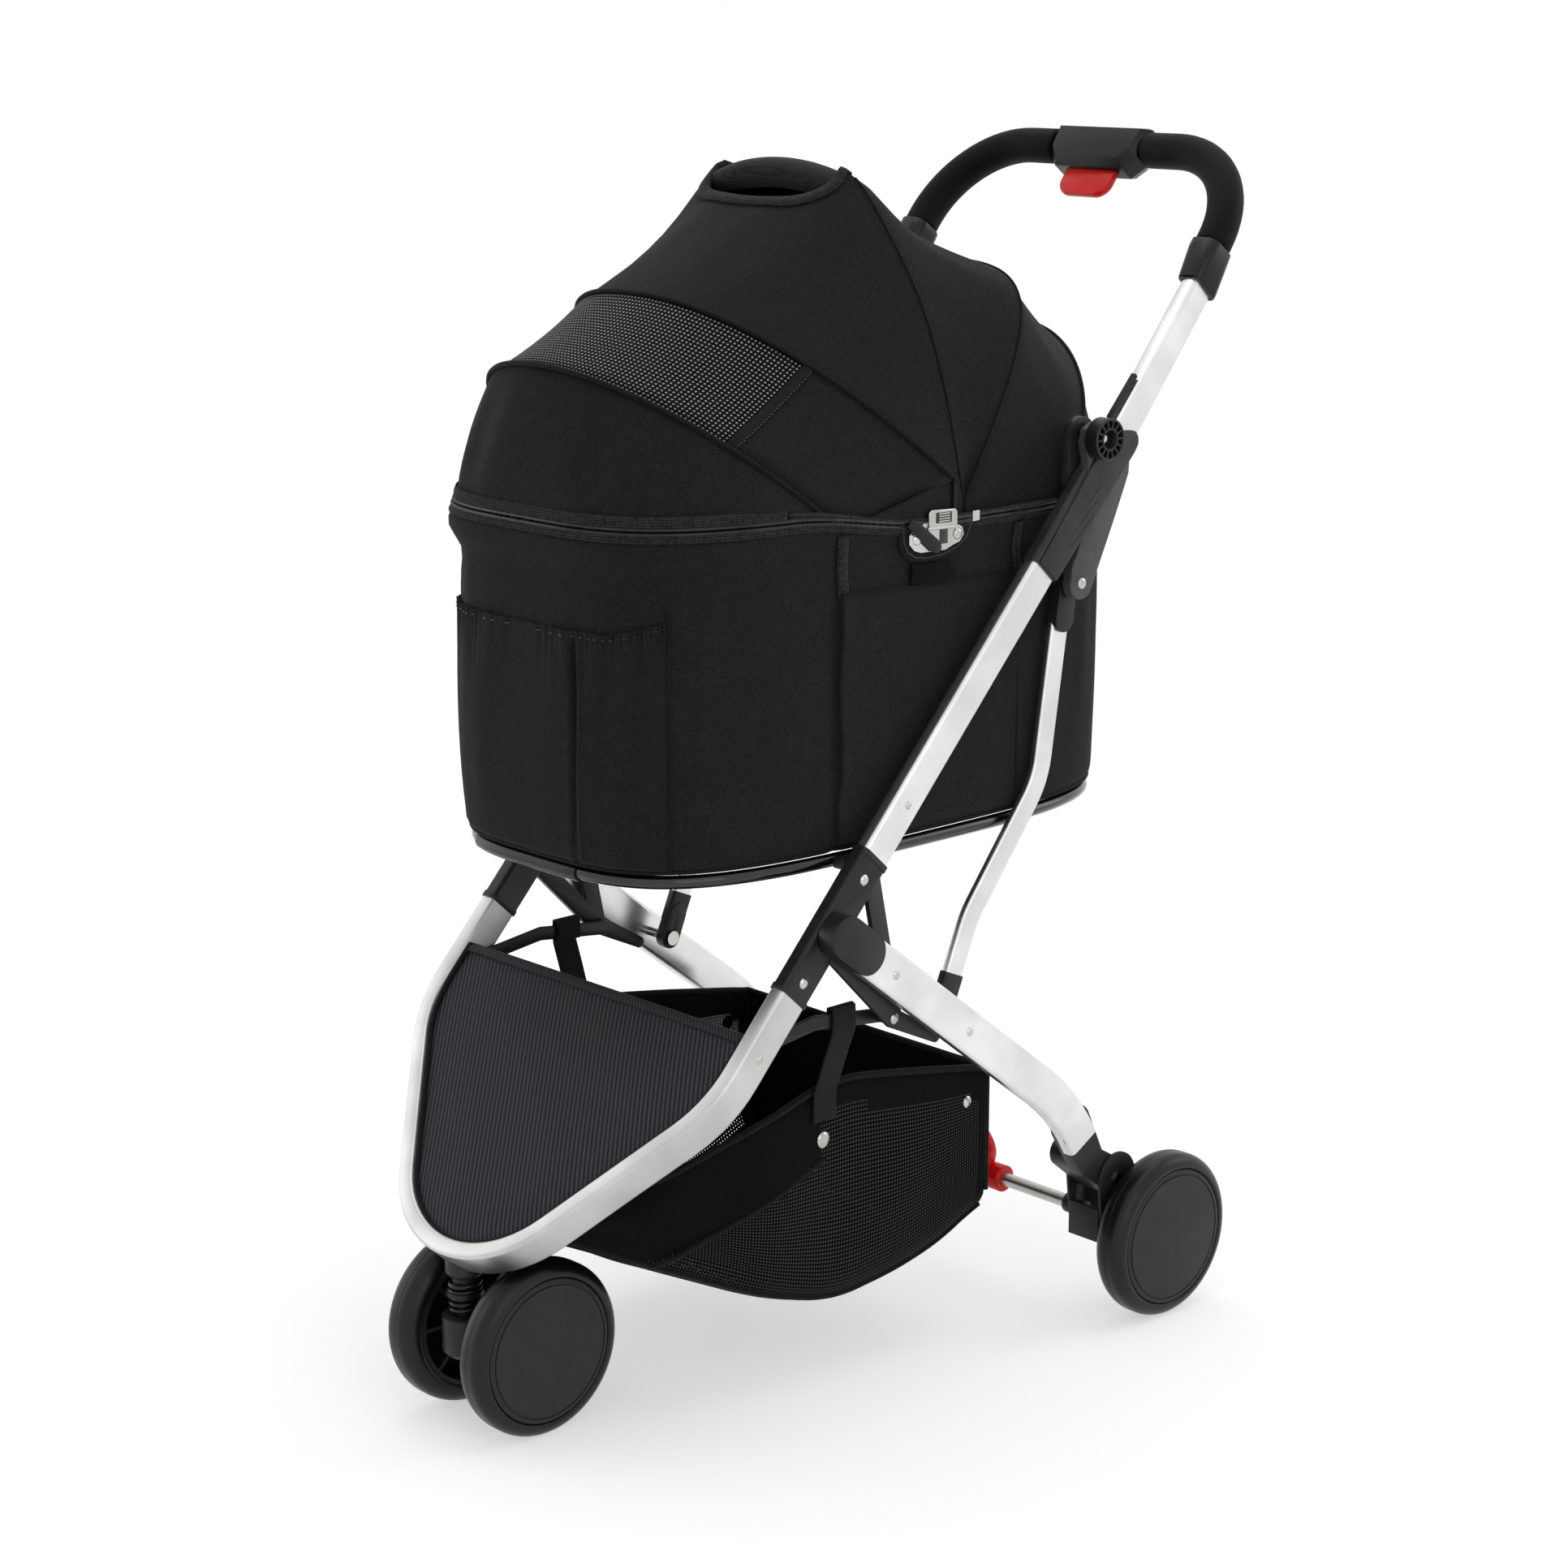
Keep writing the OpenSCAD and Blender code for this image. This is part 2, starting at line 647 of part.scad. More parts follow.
module leg_ends() {
    neck = leg_foot + 22 * [cos(foot_slope), -sin(foot_slope)];
    color("#1f1e1f") both_sides() {
        difference() {
            hull() {
                rod(leg_foot + [-10, 18], 18, leg_in - 1, cheek_out);
                rod(neck, 15, cheek_out - 14, cheek_out);
            }
            leg_solid();
        }
        difference() {
            link(neck, cheek_hub, 13, 16, cheek_in + cheek_t, cheek_out - cheek_t);
            hull() {
                rod(leg_foot + [-10, 18], 18, leg_in - 1, cheek_out);
                rod(neck, 15, cheek_out - 14, cheek_out);
            }
        }
    }
}

module axle_brackets() {
    color("#6e6f72") both_sides() {
        for (x = [cheek_in, cheek_out - cheek_t]) difference() {
            union() {
                link(cheek_hub, rear_axle, 22.8, 12, x, x + cheek_t);
                link(cheek_hub, bar_place, 22.8, 14, x, x + cheek_t);
            }
            rod(rear_axle, axle_r, x - 1, x + cheek_t + 1);
            rod(bar_place, bar_r + running_gap, x - 1, x + cheek_t + 1);
            rod(cheek_hub, 4, x - 1, x + cheek_t + 1);
        }
        translate([cheek_in + cheek_t, bar_place[0] - 16, bar_place[1] - 20])
            cube([cheek_out - cheek_in - 2 * cheek_t, 3, 30]);
    }
}

module leg_rivets() {
    color("#d8d8d6") both_sides() {
        for (t = [67, 174]) rivet(on_leg(t), leg_out, 3.8, 1.9);
        rod(brace_foot, 4, brace_x - brace_t / 2 - 3, leg_in);
        rod(brace_foot, 6.5, brace_x - brace_t / 2 - 4.5, brace_x - brace_t / 2 - 2.5);
        difference() {
            rod(cheek_hub, 4, cheek_in - 3, cheek_out + 1.5);
            rod(cheek_hub, 4.1, cheek_in + cheek_t, cheek_out - cheek_t);
        }
    }
}

module rear_axles() {
    color("#b9b9b8") both_sides() {
        rod(rear_axle, axle_r, cheek_in - 4, rear_track - 7);
        rod(rear_axle, axle_r + 3, cheek_out, rear_track - tyre_w + 1);
    }
}

// ---- brake ----
bar_r = bar_d / 2;
bar_half = cheek_in + cheek_t + 6;
module brake_bar() {
    color("#dededc") rod(bar_place, bar_r, -bar_half, bar_half);
}
module brake_pedal() {
    lean = 12;
    paddle = bar_place + [-4, 26];
    half = 16;
    color("#d9322b") difference() {
        union() {
            rod(bar_place, bar_r + 6, pedal_x - 35, pedal_x + 35);
            translate([pedal_x, bar_place[0], bar_place[1]]) rotate([lean, 0, 0])
                translate([0, 4, 0]) rotate([90, 0, 0]) {
                    translate([0, 26, 0]) cylinder(d = pedal_d, h = 8);
                    translate([-half, 0, 0]) cube([2 * half, 26, 8]);
                    for (r = [10, 17, 23]) translate([0, 26, 8]) difference() {
                        cylinder(r = r, h = 1.2);
                        translate([0, 0, -1]) cylinder(r = r - 2, h = 4);
                    }
                }
        }
        rod(bar_place, bar_r, pedal_x - 40, pedal_x + 40);
    }
}
module brake_collars() {
    color("#1c1b1c") both_sides() difference() {
        rod(bar_place, bar_r + 3, cheek_in - 13, cheek_in - 1);
        rod(bar_place, bar_r, cheek_in - 14, cheek_in);
    }
}

// ---- rear braces ----
brace_points = [lever_end, [131, 485], [50, 383], brace_foot];
function toward(p, q, d) = p + d * (q - p) / norm(q - p);
module brace_solid(from, to) {
    translate([brace_x, 0, 0]) upright()
        bar([toward(lever_end, brace_points[1], from), brace_points[1], brace_points[2],
            toward(brace_foot, brace_points[2], to)], brace_r, brace_w, brace_t);
}
brace_cap = 38;
brace_shoe = 22;
module rear_brace(s) {
    color("#e4e4e2") on_side(s) brace_solid(brace_cap - 14, brace_shoe - 8);
}
module brace_ends() {
    half = brace_t / 2;
    color("#1b1a1b") both_sides() difference() {
        union() {
            link(toward(lever_end, brace_points[1], 4), toward(lever_end, brace_points[1], brace_cap - 6),
                10, 10.5, brace_x - half - 1.5, arm_in - 1);
            link(brace_foot, toward(brace_foot, brace_points[2], brace_shoe),
                10, 9.5, brace_x - half - 1.5, brace_x + half);
        }
        brace_solid(brace_cap - 14, brace_shoe - 8);
        rod(brace_foot, 4 + running_gap, 0, leg_x);
    }
}

// ---- wheels: drawn with the outer face at +X, x = 0 at the outer face ----
rim_r = rim_d / 2;
module tyre_ring() {
    shoulder = tyre_w / 2 - 0.1;
    rotate([0, -90, 0]) rotate_extrude($fn = 96) difference() {
        union() {
            square([wheel_r - shoulder, tyre_w]);
            translate([0, shoulder]) square([wheel_r, tyre_w - 2 * shoulder]);
            for (z = [shoulder, tyre_w - shoulder])
                translate([wheel_r - shoulder, z]) circle(shoulder);
        }
        translate([-1, -1]) square([rim_r + 1, tyre_w + 2]);
    }
}
module hub_disc(bore) {
    boss = bore + 8;
    spokes = 8;
    rotate([0, -90, 0]) difference() {
        union() {
            difference() {
                translate([0, 0, 0.8]) cylinder(r = rim_r, h = tyre_w - 2, $fn = 96);
                translate([0, 0, 7]) cylinder(r = rim_r - 4, h = tyre_w, $fn = 96);
            }
            cylinder(r = rim_r - 6, h = 2, $fn = 96);
            cylinder(r = boss, h = tyre_w - 3);
            intersection() {
                translate([0, 0, 5]) cylinder(r = rim_r - 2, h = tyre_w - 9);
                for (i = [0 : spokes - 1]) rotate([0, 0, i * 360 / spokes])
                    translate([boss - 2, -1.5, 5]) cube([rim_r - boss, 3, tyre_w - 11]);
            }
        }
        translate([0, 0, 5]) cylinder(r = bore + running_gap, h = tyre_w);
    }
}
module rear_place() { translate([rear_track, rear_axle[0], rear_axle[1]]) children(); }
module front_place() { translate([front_track, front_axle[0], front_axle[1]]) children(); }
module rear_tyre(s) { color("#262527") on_side(s) rear_place() tyre_ring(); }
module rear_hub(s) { color("#1f1e20") on_side(s) rear_place() hub_disc(axle_r); }
module front_tyre(s) { color("#262527") on_side(s) front_place() tyre_ring(); }
module front_hub(s) { color("#1f1e20") on_side(s) front_place() hub_disc(axle_r); }

// ---- caster ----
fork_top = 96;
fork_low = 62;
rod_r = 6;
spring_top = socket_low - 5;
module caster_stem() {
    color("#bdbdbb") translate([0, swivel_y, 0]) {
        translate([0, 0, spring_top]) cylinder(r = stem_r, h = socket_low + 15 - spring_top);
        translate([0, 0, spring_top]) cylinder(r = 15, h = 4);
        translate([0, 0, fork_low + 12]) cylinder(r = rod_r, h = spring_top + 1 - fork_low - 12);
    }
}
module caster_spring() {
    turns = 4;
    pitch = (spring_top - fork_top - 0.4) / turns;
    color("#151515") translate([0, swivel_y, fork_top + 0.2])
        for (i = [0 : turns - 1]) translate([0, 0, i * pitch + 0.2])
            difference() {
                cylinder(r = 14, h = pitch - 0.4);
                translate([0, 0, -1]) cylinder(r = 9, h = pitch + 2);
            }
}
module caster_fork() {
    arm = front_axle;
    width = 2 * (front_track - tyre_w - 2);
    color("#1d1c1d") difference() {
        union() {
            translate([0, swivel_y, fork_low + 5]) cylinder(r = 19, h = fork_top - fork_low - 5);
            translate([0, swivel_y, fork_low]) cylinder(r1 = 14, r2 = 19, h = 5 + eps);
            link([swivel_y, wheel_r + 4], arm, 10, 11, -15, 15);
            rod(arm, 12.5, -width / 2, width / 2);
        }
        translate([0, swivel_y, fork_low + 12 - fork_travel - 1])
            cylinder(r = rod_r + running_gap, h = fork_top);
        rod(arm, axle_r, -width, width);
    }
}
module front_axle_rod() {
    half = front_track - 6;
    color("#b9b9b8") rod(front_axle, axle_r, -half, half);
}

// ---- carrier ----
tub_low = ring_z + ring_d / 2 + gap;
floor_t = 4;
module carrier_tub() {
    color("#2c2b2d") difference() {
        translate([0, 0, tub_low]) linear_extrude(rim_z - tub_low)
            polygon(carrier_plan());
        translate([0, 0, tub_low + floor_t]) linear_extrude(rim_z)
            polygon(carrier_plan(carrier_wall));
    }
}
module carrier_mat() {
    color("#4a4a4c") translate([0, 0, tub_low + floor_t]) linear_extrude(mat_t)
        polygon(carrier_plan(carrier_wall + 4));
}
clasp_y = 17;
module clasps() {
    color("#cfcfcd") both_sides() {
        difference() {
            translate([carrier_half, clasp_y - 23, rim_z - 22]) cube([2, 46, 34]);
            translate([carrier_half - 1, clasp_y - 8, rim_z - 14]) cube([4, 12, 12]);
        }
        for (y = [-24, 23]) rivet([clasp_y + y * 0.8, rim_z - 12], carrier_half + 2, 3.6, 1.6);
    }
}

// A hoop of the canopy: foot [y, z], crown [y, z], half width, and the squareness
// across and along the hoop. Its points run from the left foot over to the right.
foot_y = 45;
hoop_second = [[foot_y - 12, rim_z + 32], [-166, rim_z + 181], carrier_half, 2.3, 2.3];
hoop_crown = [[foot_y + 5, rim_z + 17], [-6, rim_z + crown_rise], carrier_half - 7, 2.5, 3.2];
hoop_lobe = [[foot_y + 8, rim_z + 18], [152, rim_z + 193], carrier_half - 6, 4.2, 4.2];
hoop_rear = [[160, rim_z + 5], [286, rim_z + 128], carrier_half - 5, 1.7, 1.7];
hoop_front = [[-87, rim_z + 3], [-259, rim_z + 132], carrier_half - 3, 2.1, 2.1];
steps = 36;
seat = 0.3;
function power(v, p) = sign(v) * pow(abs(v), p);
// draws a point of the canopy in towards its middle by d
function drawn_in(p, d) = let (f = 1 - d / carrier_half)
    [p[0] * f, foot_y + (p[1] - foot_y) * f, rim_z + (p[2] - rim_z) * f];
function hoop_point(h, k, d = 0) = let (a = 180 * k / steps, rise = power(sin(a), 2 / h[4]))
    drawn_in([h[2] * power(cos(a), 2 / h[3]), h[0][0] + (h[1][0] - h[0][0]) * rise,
        h[0][1] + (h[1][1] - h[0][1]) * rise], d);
// the carrier's rim from the left side round its front (-1) or rear (1) to the right side
function rim_point(k, end, y0) =
    let (a0 = asin(power(abs(y0 - carrier_y) / carrier_long, carrier_square / 2)),
         start = (y0 - carrier_y) * end > 0 ? a0 : -a0,
         a = start + (180 - 2 * start) * k / steps)
    [carrier_half * squared(cos(a)), carrier_y + end * carrier_long * squared(sin(a)),
     rim_z + 1];
function seated(row) = concat([[row[0][0], row[0][1], rim_z + seat]], row,
    [[row[steps][0], row[steps][1], rim_z + seat]]);
function hoop_row(h, d = 0) = seated([for (k = [0 : steps]) hoop_point(h, k, d)]);
function rim_row(end, y0, d = 0) =
    seated([for (k = [0 : steps]) drawn_in(rim_point(k, end, y0), d)]);
// a shell between rows of points, its inside rows given in the same order
module shell(outer, inner) {
    m = len(outer);
    n = len(outer[0]);
    total = m * n;
    points = concat([for (r = outer) for (p = r) p], [for (r = inner) for (p = r) p]);
    faces = concat(
        [for (i = [0 : m - 2], j = [0 : n - 2]) for (f = [
            [i * n + j, i * n + j + 1, (i + 1) * n + j + 1],
            [i * n + j, (i + 1) * n + j + 1, (i + 1) * n + j]]) f],
        [for (i = [0 : m - 2], j = [0 : n - 2]) for (f = [
            [total + i * n + j, total + (i + 1) * n + j + 1, total + i * n + j + 1],
            [total + i * n + j, total + (i + 1) * n + j, total + (i + 1) * n + j + 1]]) f],
        [for (j = [0 : n - 2]) for (f = [
            [j, total + j, total + j + 1], [j, total + j + 1, j + 1]]) f],
        [for (j = [0 : n - 2]) let (b = (m - 1) * n) for (f = [
            [b + j, total + b + j + 1, total + b + j], [b + j, b + j + 1, total + b + j + 1]]) f],
        [for (i = [0 : m - 2]) for (f = [
            [i * n, (i + 1) * n, total + (i + 1) * n], [i * n, total + (i + 1) * n, total + i * n]]) f],
        [for (i = [0 : m - 2]) let (e = n - 1) for (f = [
            [i * n + e, total + i * n + e, total + (i + 1) * n + e],
            [i * n + e, total + (i + 1) * n + e, (i + 1) * n + e]]) f]);
    polyhedron(points, faces, convexity = 6);
}
function back_rows(d) = [hoop_row(hoop_second, d), hoop_row(hoop_crown, d),
    hoop_row(hoop_lobe, d), hoop_row(hoop_rear, d), rim_row(1, 165, d)];
mouth = [78, 34];
module canopy_back() {
    color("#2a292b") difference() {
        shell(back_rows(1), back_rows(1 + canopy_t));
        translate([0, hoop_crown[1][0], rim_z + crown_rise - 46])
            linear_extrude(90) scale([mouth[0], mouth[1]]) circle(1, $fn = 48);
    }
}
// a rod that follows a hoop, from step k0 to step k1
module hoop_rod(h, r, k0, k1, d) {
    sides = 8;
    path = [for (k = [k0 : k1]) hoop_point(h, k, d)];
    n = len(path);
    points = [for (i = [0 : n - 1])
        let (run = path[min(i + 1, n - 1)] - path[max(i - 1, 0)],
             up = cross(run, [0, 1, 0]), u = up / norm(up), w = cross(run, u) / norm(run))
        for (j = [0 : sides - 1]) let (a = j * 360 / sides)
            path[i] + r * cos(a) * u + r * sin(a) * w];
    faces = concat([[for (j = [0 : sides - 1]) j]],
        [[for (j = [sides - 1 : -1 : 0]) (n - 1) * sides + j]],
        [for (i = [0 : n - 2], j = [0 : sides - 1]) let (k = (j + 1) % sides)
            [i * sides + j, (i + 1) * sides + j, (i + 1) * sides + k, i * sides + k]]);
    polyhedron(points, faces, convexity = 4);
}
bow_d = 1 + canopy_t + 6;
module canopy_bows() {
    color("#3c3c3e") {
        for (k = [2, steps - 12]) hoop_rod(hoop_crown, 4, k, k + 10, bow_d);
        hoop_rod(hoop_lobe, 2.5, 2, steps - 2, bow_d);
        hoop_rod(hoop_rear, 2.5, 2, steps - 2, bow_d);
    }
}
hoop_carry = [[hoop_crown[0][0], rim_z + 150],
    [hoop_crown[1][0], rim_z + carry_rise - carry_d / 2], 82, 2.2, 2.2];
module carry_handle() {
    color("#2f2e30") hoop_rod(hoop_carry, carry_d / 2, 6, steps - 6, 0);
}

// ---- canopy front ----
function flap_rows(d) = [rim_row(-1, -87, d), hoop_row(hoop_front, d)];
module canopy_flap() {
    color("#2a292b") shell(flap_rows(0.2), flap_rows(0.2 + canopy_t));
}
// rows at the shares from and to of the way between two rows of points
function between(a, b, share) = [for (k = [0 : len(a) - 1]) a[k] + share * (b[k] - a[k])];
function mesh_rows(d) = let (a = hoop_row(hoop_front, d), b = hoop_row(hoop_second, d))
    [between(a, b, 0.02), between(a, b, 0.5), between(a, b, 0.98)];
module canopy_mesh() {
    color("#5b5b5d") shell(mesh_rows(0.6), mesh_rows(1.6));
}
module front_bow() {
    color("#3c3c3e") hoop_rod(hoop_front, 2.5, 2, steps - 2, bow_d);
}

// the origin is on the floor, under the middle of the whole stroller
module placed() { translate([0, y_shift, 0]) children(); }
placed() front_loop();
placed() front_panel();
placed() bracket(1);  // bracket_left
placed() bracket(-1);  // bracket_right
placed() main_tube(1);  // main_tube_left
placed() main_tube(-1);  // main_tube_right
placed() joint_housing(1);  // joint_housing_left
placed() joint_housing(-1);  // joint_housing_right
placed() joint_knobs();
placed() basket_rails();
placed() basket();
placed() basket_straps();
placed() basket_snaps();
placed() frame_rivets();
placed() stem_socket();
placed() base_ring();
placed() upper_tube(1);  // upper_tube_left
placed() upper_tube(-1);  // upper_tube_right
placed() lever(1);  // lever_left
placed() lever(-1);  // lever_right
placed() collars();
placed() grip_core();
placed() foam_grip();
placed() release_housing();
placed() release_cable();
placed() fold_trigger();
placed() rear_leg(1);  // rear_leg_left
placed() rear_leg(-1);  // rear_leg_right
placed() leg_caps();
placed() leg_ends();
placed() axle_brackets();
placed() leg_rivets();
placed() rear_axles();
placed() brake_bar();
placed() brake_pedal();
placed() brake_collars();
placed() rear_brace(1);  // rear_brace_left
placed() rear_brace(-1);  // rear_brace_right
placed() brace_ends();
placed() rear_tyre(1);  // rear_tyre_left
placed() rear_hub(1);  // rear_hub_left
placed() rear_tyre(-1);  // rear_tyre_right
placed() rear_hub(-1);  // rear_hub_right
placed() caster_stem();
placed() caster_spring();
placed() caster_fork();
placed() front_axle_rod();  // front_axle
placed() front_tyre(1);  // front_tyre_left
placed() front_hub(1);  // front_hub_left
placed() front_tyre(-1);  // front_tyre_right
placed() front_hub(-1);  // front_hub_right
placed() carrier_tub();
placed() carrier_mat();
placed() clasps();
placed() canopy_back();
placed() canopy_bows();
placed() carry_handle();
placed() canopy_flap();
placed() canopy_mesh();
placed() front_bow();
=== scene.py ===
"""The looks of the pet stroller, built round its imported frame. Metres, Z up, the front faces -Y."""
import math

import bmesh
import bpy
from mathutils import Matrix, Vector
from mathutils.bvhtree import BVHTree


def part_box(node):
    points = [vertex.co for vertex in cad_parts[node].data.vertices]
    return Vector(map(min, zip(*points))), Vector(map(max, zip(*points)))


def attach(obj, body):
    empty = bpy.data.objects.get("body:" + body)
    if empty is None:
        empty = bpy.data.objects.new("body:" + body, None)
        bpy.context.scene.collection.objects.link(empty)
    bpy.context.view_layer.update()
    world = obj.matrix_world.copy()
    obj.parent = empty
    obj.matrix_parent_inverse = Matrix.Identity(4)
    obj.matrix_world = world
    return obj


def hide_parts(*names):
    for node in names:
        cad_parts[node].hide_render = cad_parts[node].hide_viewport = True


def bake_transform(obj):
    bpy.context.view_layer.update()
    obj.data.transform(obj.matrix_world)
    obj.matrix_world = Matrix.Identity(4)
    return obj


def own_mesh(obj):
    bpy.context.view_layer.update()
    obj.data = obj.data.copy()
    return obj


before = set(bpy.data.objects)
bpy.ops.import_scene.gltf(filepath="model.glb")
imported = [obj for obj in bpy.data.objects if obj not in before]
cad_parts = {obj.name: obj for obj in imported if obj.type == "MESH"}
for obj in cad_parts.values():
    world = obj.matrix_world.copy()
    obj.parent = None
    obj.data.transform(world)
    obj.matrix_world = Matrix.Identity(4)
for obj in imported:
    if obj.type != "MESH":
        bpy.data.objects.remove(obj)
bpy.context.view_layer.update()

MM = 0.001
ring_low, ring_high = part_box("base_ring")
# the carrier's middle lies 5 mm behind the stroller's own origin before the whole is centred
SHIFT = (ring_low.y + ring_high.y) / 2 / MM - 5


def at(x, y, z):
    """A place in millimetres, before the whole stroller is centred along Y, as a point in metres."""
    return Vector((x, y + SHIFT, z)) * MM


def clamped(v):
    return min(1, max(0, v))


def bell(away, width):
    """A smooth hump: 1 in its middle, 0.37 at the width, and next to nothing at twice that."""
    return math.exp(-(away / width) ** 2)


def power(v, p):
    return math.copysign(abs(v) ** p, v)


def steps_between(first, last, count):
    return [first + (last - first) * i / count for i in range(count + 1)]


def between(a, b, t):
    return tuple(p + (q - p) * t for p, q in zip(a, b))


def arc(centre, radius, first, last, count):
    """Places on an arc in a plane; its two ends are in degrees."""
    return [(centre[0] + radius * math.cos(math.radians(a)),
             centre[1] + radius * math.sin(math.radians(a))) for a in steps_between(first, last, count)]


# ---------------------------------------------------------------- camera and light
AZIMUTH, ELEVATION, REACH = math.radians(47.05), math.radians(13.67), 2.7471
target = at(0, 0, 472.8)
back = Vector((math.sin(AZIMUTH) * math.cos(ELEVATION),
               -math.cos(AZIMUTH) * math.cos(ELEVATION), math.sin(ELEVATION)))
bpy.ops.object.camera_add(location=target + back * REACH)
camera = bpy.context.object
camera.rotation_euler = back.to_track_quat("Z", "Y").to_euler()
camera.data.sensor_width = 36
camera.data.lens = 75.12
bpy.context.scene.camera = camera
bpy.context.scene.view_settings.view_transform = "Standard"


def soft_box(name, place, size, power):
    """A large rectangular lamp aimed at the stroller's middle; its place and size are in metres."""
    bpy.ops.object.light_add(type="AREA", location=place)
    lamp = bpy.context.object
    lamp.name = name
    lamp.data.shape = "RECTANGLE"
    lamp.data.size, lamp.data.size_y = size
    lamp.data.energy = power
    lamp.rotation_euler = (Vector(place) - target).to_track_quat("Z", "Y").to_euler()


soft_box("key", (-3.0, -1.6, 1.0), (2.4, 2.4), 15)
soft_box("fill", (3.0, -1.0, 1.6), (2.0, 2.4), 10)
soft_box("top", (-0.3, 0.4, 3.2), (2.6, 2.6), 20)
soft_box("rim", (1.6, 2.9, 1.9), (1.6, 1.8), 12)


# ---------------------------------------------------------------- finishes
def hexed(colour):
    """An sRGB hex colour as linear light, the way a shader takes it."""
    parts = [int(colour[i:i + 2], 16) / 255 for i in (1, 3, 5)]
    return [c / 12.92 if c <= 0.04045 else ((c + 0.055) / 1.055) ** 2.4 for c in parts] + [1.0]


def put(tree, kind, settings=(), inputs=()):
    """Adds a shader node: its own settings, then its inputs, each a value or another node's output."""
    made = tree.nodes.new(kind)
    for name, value in dict(settings).items():
        setattr(made, name, value)
    for name, value in dict(inputs).items():
        if isinstance(value, bpy.types.NodeSocket):
            tree.links.new(value, made.inputs[name])
        else:
            made.inputs[name].default_value = value
    return made


def new_finish(name, **values):
    """A fresh material with its one principled shader, and that shader's plain values."""
    made = bpy.data.materials.new(name)
    made.use_nodes = True
    shader = made.node_tree.nodes["Principled BSDF"]
    for key, value in values.items():
        shader.inputs[key.replace("_", " ")].default_value = value
    return made, made.node_tree, shader


def plug(tree, shader, **sockets):
    """Drives the shader's inputs of those names from other nodes."""
    for name, socket in sockets.items():
        tree.links.new(socket, shader.inputs[name.replace("_", " ")])


def coordinates(tree, kind):
    return put(tree, "ShaderNodeTexCoord").outputs[kind]


def noise(tree, where, scale, detail):
    return put(tree, "ShaderNodeTexNoise",
               inputs={"Vector": where, "Scale": scale, "Detail": detail}).outputs["Fac"]


def sums(tree, operation, a, b, **settings):
    """One step of arithmetic on two values or sockets."""
    return put(tree, "ShaderNodeMath", {"operation": operation, **settings}, {0: a, 1: b}).outputs[0]


def mapped(tree, value, low, high):
    """A value from 0 to 1 spread over low to high."""
    return put(tree, "ShaderNodeMapRange",
               inputs={"Value": value, "To Min": low, "To Max": high}).outputs["Result"]


def ramped(tree, share, low, high, first, last):
    """A colour that runs from one hex colour to the other as the share goes from first to last."""
    ramp = put(tree, "ShaderNodeValToRGB", inputs={"Fac": share})
    start, end = ramp.color_ramp.elements
    start.position, end.position = first, last
    start.color, end.color = hexed(low), hexed(high)
    return ramp.outputs["Color"]


def speckled(tree, where, size, low, high):
    """A colour that wavers between two hex colours in spots of about that size in metres."""
    return ramped(tree, noise(tree, where, 1 / size, 2.0), low, high, 0.36, 0.64)


def bumped(tree, height, strength, depth, **settings):
    """A surface that follows a height, up to depth metres."""
    return put(tree, "ShaderNodeBump", settings,
               {"Height": height, "Strength": strength, "Distance": depth}).outputs["Normal"]


def threads(tree, where, axis, pitch):
    """Round threads side by side, `pitch` metres apart along one axis of the cloth."""
    return put(tree, "ShaderNodeTexWave", {"bands_direction": axis},
               {"Vector": where, "Scale": math.pi / 10 / pitch}).outputs["Fac"]


def moulded(name, colour, light, rough, grain=0.0006, depth=0.00004, **more):
    """Injection-moulded plastic: a fine spark-eroded grain in the skin, and slightly paler, smoother
    patches where hands and handling have polished it."""
    made, tree, shader = new_finish(name, Roughness=rough, **{"Specular_IOR_Level": 0.3, **more})
    where = coordinates(tree, "Object")
    plug(tree, shader, Base_Color=speckled(tree, where, 0.02, colour, light),
         Normal=bumped(tree, noise(tree, where, 1 / grain, 1.0), 0.35, depth),
         Roughness=mapped(tree, noise(tree, where, 28.0, 3.0), rough - 0.05, rough + 0.07))
    return made


def metal(name, colour, light, rough, brushed=(1, 1, 1)):
    """Bare or anodised metal: drawn tube keeps faint lines along its length, seen as a slightly
    broken highlight; `brushed` is how often the grain repeats along each axis."""
    made, tree, shader = new_finish(name, Metallic=1.0, Roughness=rough)
    where = coordinates(tree, "Object")
    lined = put(tree, "ShaderNodeMapping", inputs={"Vector": where, "Scale": brushed}).outputs["Vector"]
    grain = noise(tree, lined, 900.0, 3.0)
    plug(tree, shader, Base_Color=speckled(tree, where, 0.05, colour, light),
         Normal=bumped(tree, grain, 0.3, 0.00002),
         Roughness=mapped(tree, grain, rough - 0.06, rough + 0.06))
    return made


